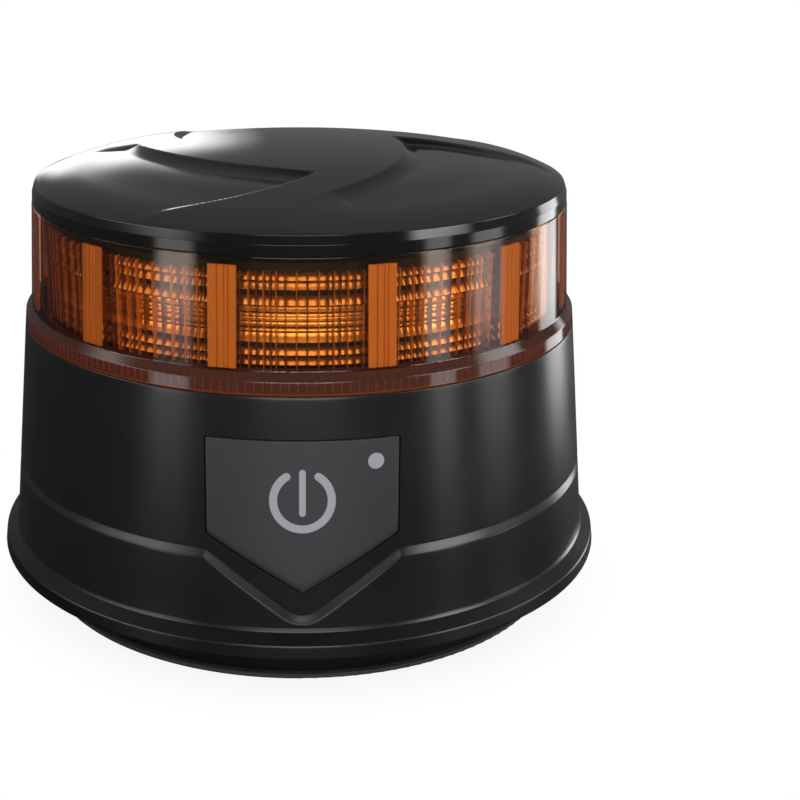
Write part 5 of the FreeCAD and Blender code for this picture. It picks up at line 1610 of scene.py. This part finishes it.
@dataclass
class Studio:
    """Camera, pale floor, soft lamps, and the grey tent with white cards that show in the gloss."""

    # Place of the camera in metres, its turns in degrees, its focal length and its shift to the side.
    camera_place: Point = (-0.00335, -0.34264, 0.16462)
    camera_turn: Point = (70.24, 0.0, -0.56)
    lens: float = 66.4
    shift: float = 0.126
    # Angles above the horizon, and how bright the tent is there.
    tent_angles: tuple[float, ...] = (-90.0, -30.0, -12.0, 0.0, 20.0, 30.0, 60.0, 90.0)
    tent_front: tuple[float, ...] = (0.03, 0.05, 0.045, 0.06, 0.08, 0.08, 0.06, 0.10)
    tent_back: tuple[float, ...] = (0.03, 0.05, 0.10, 0.26, 0.18, 0.22, 0.40, 0.10)
    # Which way round the tent is brighter below the horizon, in degrees to the right, by what share, and at
    # which angle above the horizon that ends.
    tent_side: float = 40.0
    tent_lean: float = 0.5
    lean_end: float = 15.0
    # Height of the light's middle, and how far from it the tent and the cards hang.
    middle: float = 50.0
    tent_radius: float = 1900.0
    card_distance: float = 1500.0
    # How bright the world is for soft light; the gloss and the camera see it white.
    world_fill: float = 0.2
    # The floor: half its side, the distances over which the shadow round the foot ends, and its white there.
    floor_half: float = 4000.0
    shadow: tuple[float, float] = (58.0, 82.0)
    shadow_white: float = 0.88
    lamps: tuple[Lamp, ...] = (
        Lamp("key", (0.3, -0.95, 0.5), 0.7, 6.0),
        Lamp("fill", (-0.75, -0.5, 0.55), 0.7, 1.0),
        Lamp("top", (0.0, 0.1, 1.1), 0.9, 0.7),
        Lamp("rear", (0.2, 0.9, 0.6), 0.7, 2.5))
    cards: tuple[Card, ...] = (
        Card("front", (-20.0, 20.0), (-2.0, 10.0), 5.0),
        Card("front_high", (-24.0, 24.0), (27.0, 44.0), 6.0),
        Card("left_strip", (-61.0, -42.0), (-12.0, 9.0), 2.2),
        Card("left_high", (-106.0, -38.0), (14.0, 38.0), 3.5, 0.3),
        Card("right_strip_near", (50.0, 63.0), (-14.0, 9.0), 2.6),
        Card("right_high_near", (44.0, 76.0), (14.0, 38.0), 6.0),
        Card("right_strip_middle", (72.0, 91.0), (-14.0, 9.0), 2.4),
        Card("right_high_middle", (80.0, 106.0), (14.0, 36.0), 4.5),
        Card("right_strip_far", (115.0, 136.0), (-17.0, 12.0), 4.2),
        Card("back_left", (-178.5, -160.5), (-3.5, 15.5), 2.8, 0.3))

    def camera(self) -> None:
        """Sets the camera where the picture was taken from."""
        view = bpy.data.cameras.new("camera")
        view.sensor_width, view.lens, view.shift_x = 36.0, self.lens, self.shift
        thing = bpy.data.objects.new("camera", view)
        thing.location = self.camera_place
        thing.rotation_euler = [math.radians(a) for a in self.camera_turn]
        bpy.context.scene.collection.objects.link(thing)
        bpy.context.scene.camera = thing

    @staticmethod
    def seen(tree: bpy.types.NodeTree) -> bpy.types.NodeSocket:
        """Tells the rays that see a thing from those that are lit by it.

        Args:
            tree: Tree that gets the nodes.

        Returns:
            One for camera, glossy and transmission rays, otherwise zero.
        """
        path = add_node(tree, "ShaderNodeLightPath").outputs
        first = add_node(tree, "ShaderNodeMath", {
            0: path["Is Camera Ray"], 1: path["Is Glossy Ray"]}, operation="MAXIMUM")
        return add_node(tree, "ShaderNodeMath", {
            0: first.outputs[0], 1: path["Is Transmission Ray"]}, operation="MAXIMUM").outputs[0]

    def surroundings(self) -> None:
        """Makes the pale floor and the world."""
        world = bpy.data.worlds.new("studio")
        bpy.context.scene.world = world
        world.use_nodes = True
        tree = world.node_tree
        tree.nodes.clear()
        level = add_node(tree, "ShaderNodeMapRange", {
            "Value": self.seen(tree), "To Min": self.world_fill, "To Max": 1.0})
        sky = add_node(tree, "ShaderNodeBackground", {
            "Color": (1, 1, 1, 1), "Strength": level.outputs["Result"]})
        add_node(tree, "ShaderNodeOutputWorld", {"Surface": sky.outputs[0]})

        material, tree, out = blank("pale_floor")
        lit = add_node(tree, "ShaderNodeEmission", {"Strength": 1.0})
        plain = add_node(tree, "ShaderNodeBsdfDiffuse", {"Color": linear("#F4F4F4")})
        # Paper white, with the light's own shadow kept only close round its foot.
        where = add_node(tree, "ShaderNodeTexCoord").outputs["Object"]
        away = add_node(tree, "ShaderNodeVectorMath", {0: where}, operation="LENGTH")
        white = add_node(tree, "ShaderNodeMapRange", {
            "Value": away.outputs["Value"], "From Min": self.shadow[0] * MM, "From Max": self.shadow[1] * MM,
            "To Min": self.shadow_white, "To Max": 1.0}, interpolation_type="SMOOTHSTEP")
        share = add_node(tree, "ShaderNodeMath", {
            0: self.seen(tree), 1: white.outputs["Result"]}, operation="MULTIPLY")
        both = add_node(tree, "ShaderNodeMixShader", {
            0: share.outputs[0], 1: plain.outputs[0], 2: lit.outputs[0]})
        tree.links.new(both.outputs[0], out)
        net = Net()
        corners = ((-1, -1), (1, -1), (1, 1), (-1, 1))
        net.faces.append(tuple(net.row((x * self.floor_half, y * self.floor_half, 0) for x, y in corners)))
        floor = stand("floor", net.mesh("floor"))
        floor.data.materials.append(material)
        floor.visible_glossy = False

    def patch(self, card: Card) -> None:
        """Hangs one card, seen only in the gloss, with soft edges.

        Args:
            card: The card.
        """
        net = Net()
        marks = np.linspace(0.0, 1.0, 13)
        rows, fades = [], []
        for v in marks:
            up = math.radians(card.up[0] + v * (card.up[1] - card.up[0]))
            flat = self.card_distance * math.cos(up)
            height = self.middle + self.card_distance * math.sin(up)
            points = []
            for u in marks:
                turn = math.radians(card.around[0] + u * (card.around[1] - card.around[0]))
                points.append((flat * math.sin(turn), -flat * math.cos(turn), height))
                fades.append(float(smooth(min(u, 1 - u) / card.fade) * smooth(min(v, 1 - v) / card.fade)))
            rows.append(net.row(points))
        net.sheet(rows)
        self.hang(stand("card_" + card.name, net.mesh("card_" + card.name)), fades, card.strength)

    @staticmethod
    def hang(thing: bpy.types.Object, levels: Sequence[float], strength: float, solid: bool = False) -> None:
        """Lets a card or the tent be seen only in the gloss.

        Args:
            thing: The card or the tent.
            levels: How much of it shows at each point.
            strength: How bright it is where it shows in full.
            solid: Whether it is dark where it doesn't show, rather than clear.
        """
        thing.data.attributes.new("level", "FLOAT", "POINT").data.foreach_set("value", levels)
        material, tree, out = blank("white_" + thing.name)
        level = add_node(tree, "ShaderNodeAttribute", attribute_name="level", attribute_type="GEOMETRY")
        glow = add_node(tree, "ShaderNodeEmission", {"Strength": strength})
        rest = add_node(tree, "ShaderNodeEmission", {"Strength": 0.0}) if solid else add_node(
            tree, "ShaderNodeBsdfTransparent")
        both = add_node(tree, "ShaderNodeMixShader", {
            0: level.outputs["Fac"], 1: rest.outputs[0], 2: glow.outputs[0]})
        tree.links.new(both.outputs[0], out)
        material.cycles.emission_sampling = "NONE"
        thing.data.materials.append(material)
        thing.visible_camera = thing.visible_diffuse = False
        thing.visible_transmission = thing.visible_shadow = False

    def shine(self, lamp: Lamp) -> None:
        """Hangs one lamp, seen neither in the gloss nor by the camera.

        Args:
            lamp: The lamp.
        """
        data = bpy.data.lights.new(lamp.name, "AREA")
        data.size, data.energy = lamp.side, lamp.power
        thing = bpy.data.objects.new(lamp.name, data)
        thing.location = lamp.place
        aim = np.array((0.0, 0.0, self.middle * MM)) - np.array(lamp.place)
        flat = math.hypot(aim[0], aim[1])
        thing.rotation_euler = (math.atan2(flat, -aim[2]), 0.0, math.atan2(-aim[0], aim[1]))
        thing.visible_camera = thing.visible_glossy = False
        bpy.context.scene.collection.objects.link(thing)

    def light(self) -> None:
        """Hangs the lamps, the tent and the cards."""
        for lamp in self.lamps:
            self.shine(lamp)
        net = Net()
        rings = [(self.tent_radius * math.cos(a), self.middle + self.tent_radius * math.sin(a))
                 for a in np.linspace(-math.pi / 2, math.pi / 2, 25)[1:-1]]
        net.turn([(0.0, self.middle - self.tent_radius), *rings, (0.0, self.middle + self.tent_radius)], 48)
        tent = stand("grey_tent", net.mesh("grey_tent"))
        levels = []
        for x, y, z in (v.co for v in tent.data.vertices):
            height = math.degrees(math.atan2(z - self.middle * MM, math.hypot(x, y)))
            around = math.atan2(x, -y)
            front, back = (float(np.interp(height, self.tent_angles, tone))
                           for tone in (self.tent_front, self.tent_back))
            lean = self.tent_lean * math.cos(around - math.radians(self.tent_side))
            lean *= 1 - float(smooth(height / self.lean_end))
            levels.append((1 + lean) * (front + (back - front) * (1 - math.cos(around)) / 2))
        self.hang(tent, levels, 1.0, solid=True)
        for card in self.cards:
            self.patch(card)


def main() -> None:
    """Builds the light and its studio."""
    logging.basicConfig(level=logging.INFO, format="%(name)s: %(message)s")
    bpy.context.scene.view_settings.view_transform = "Standard"
    studio = Studio()
    studio.camera()
    shop = Shop()
    for part in (Cap(), Housing(), Button(), Lantern(), Cover()):
        part.build(shop)
    CadPieces().dress(shop)
    studio.surroundings()
    studio.light()


if __name__ == "__main__":
    main()
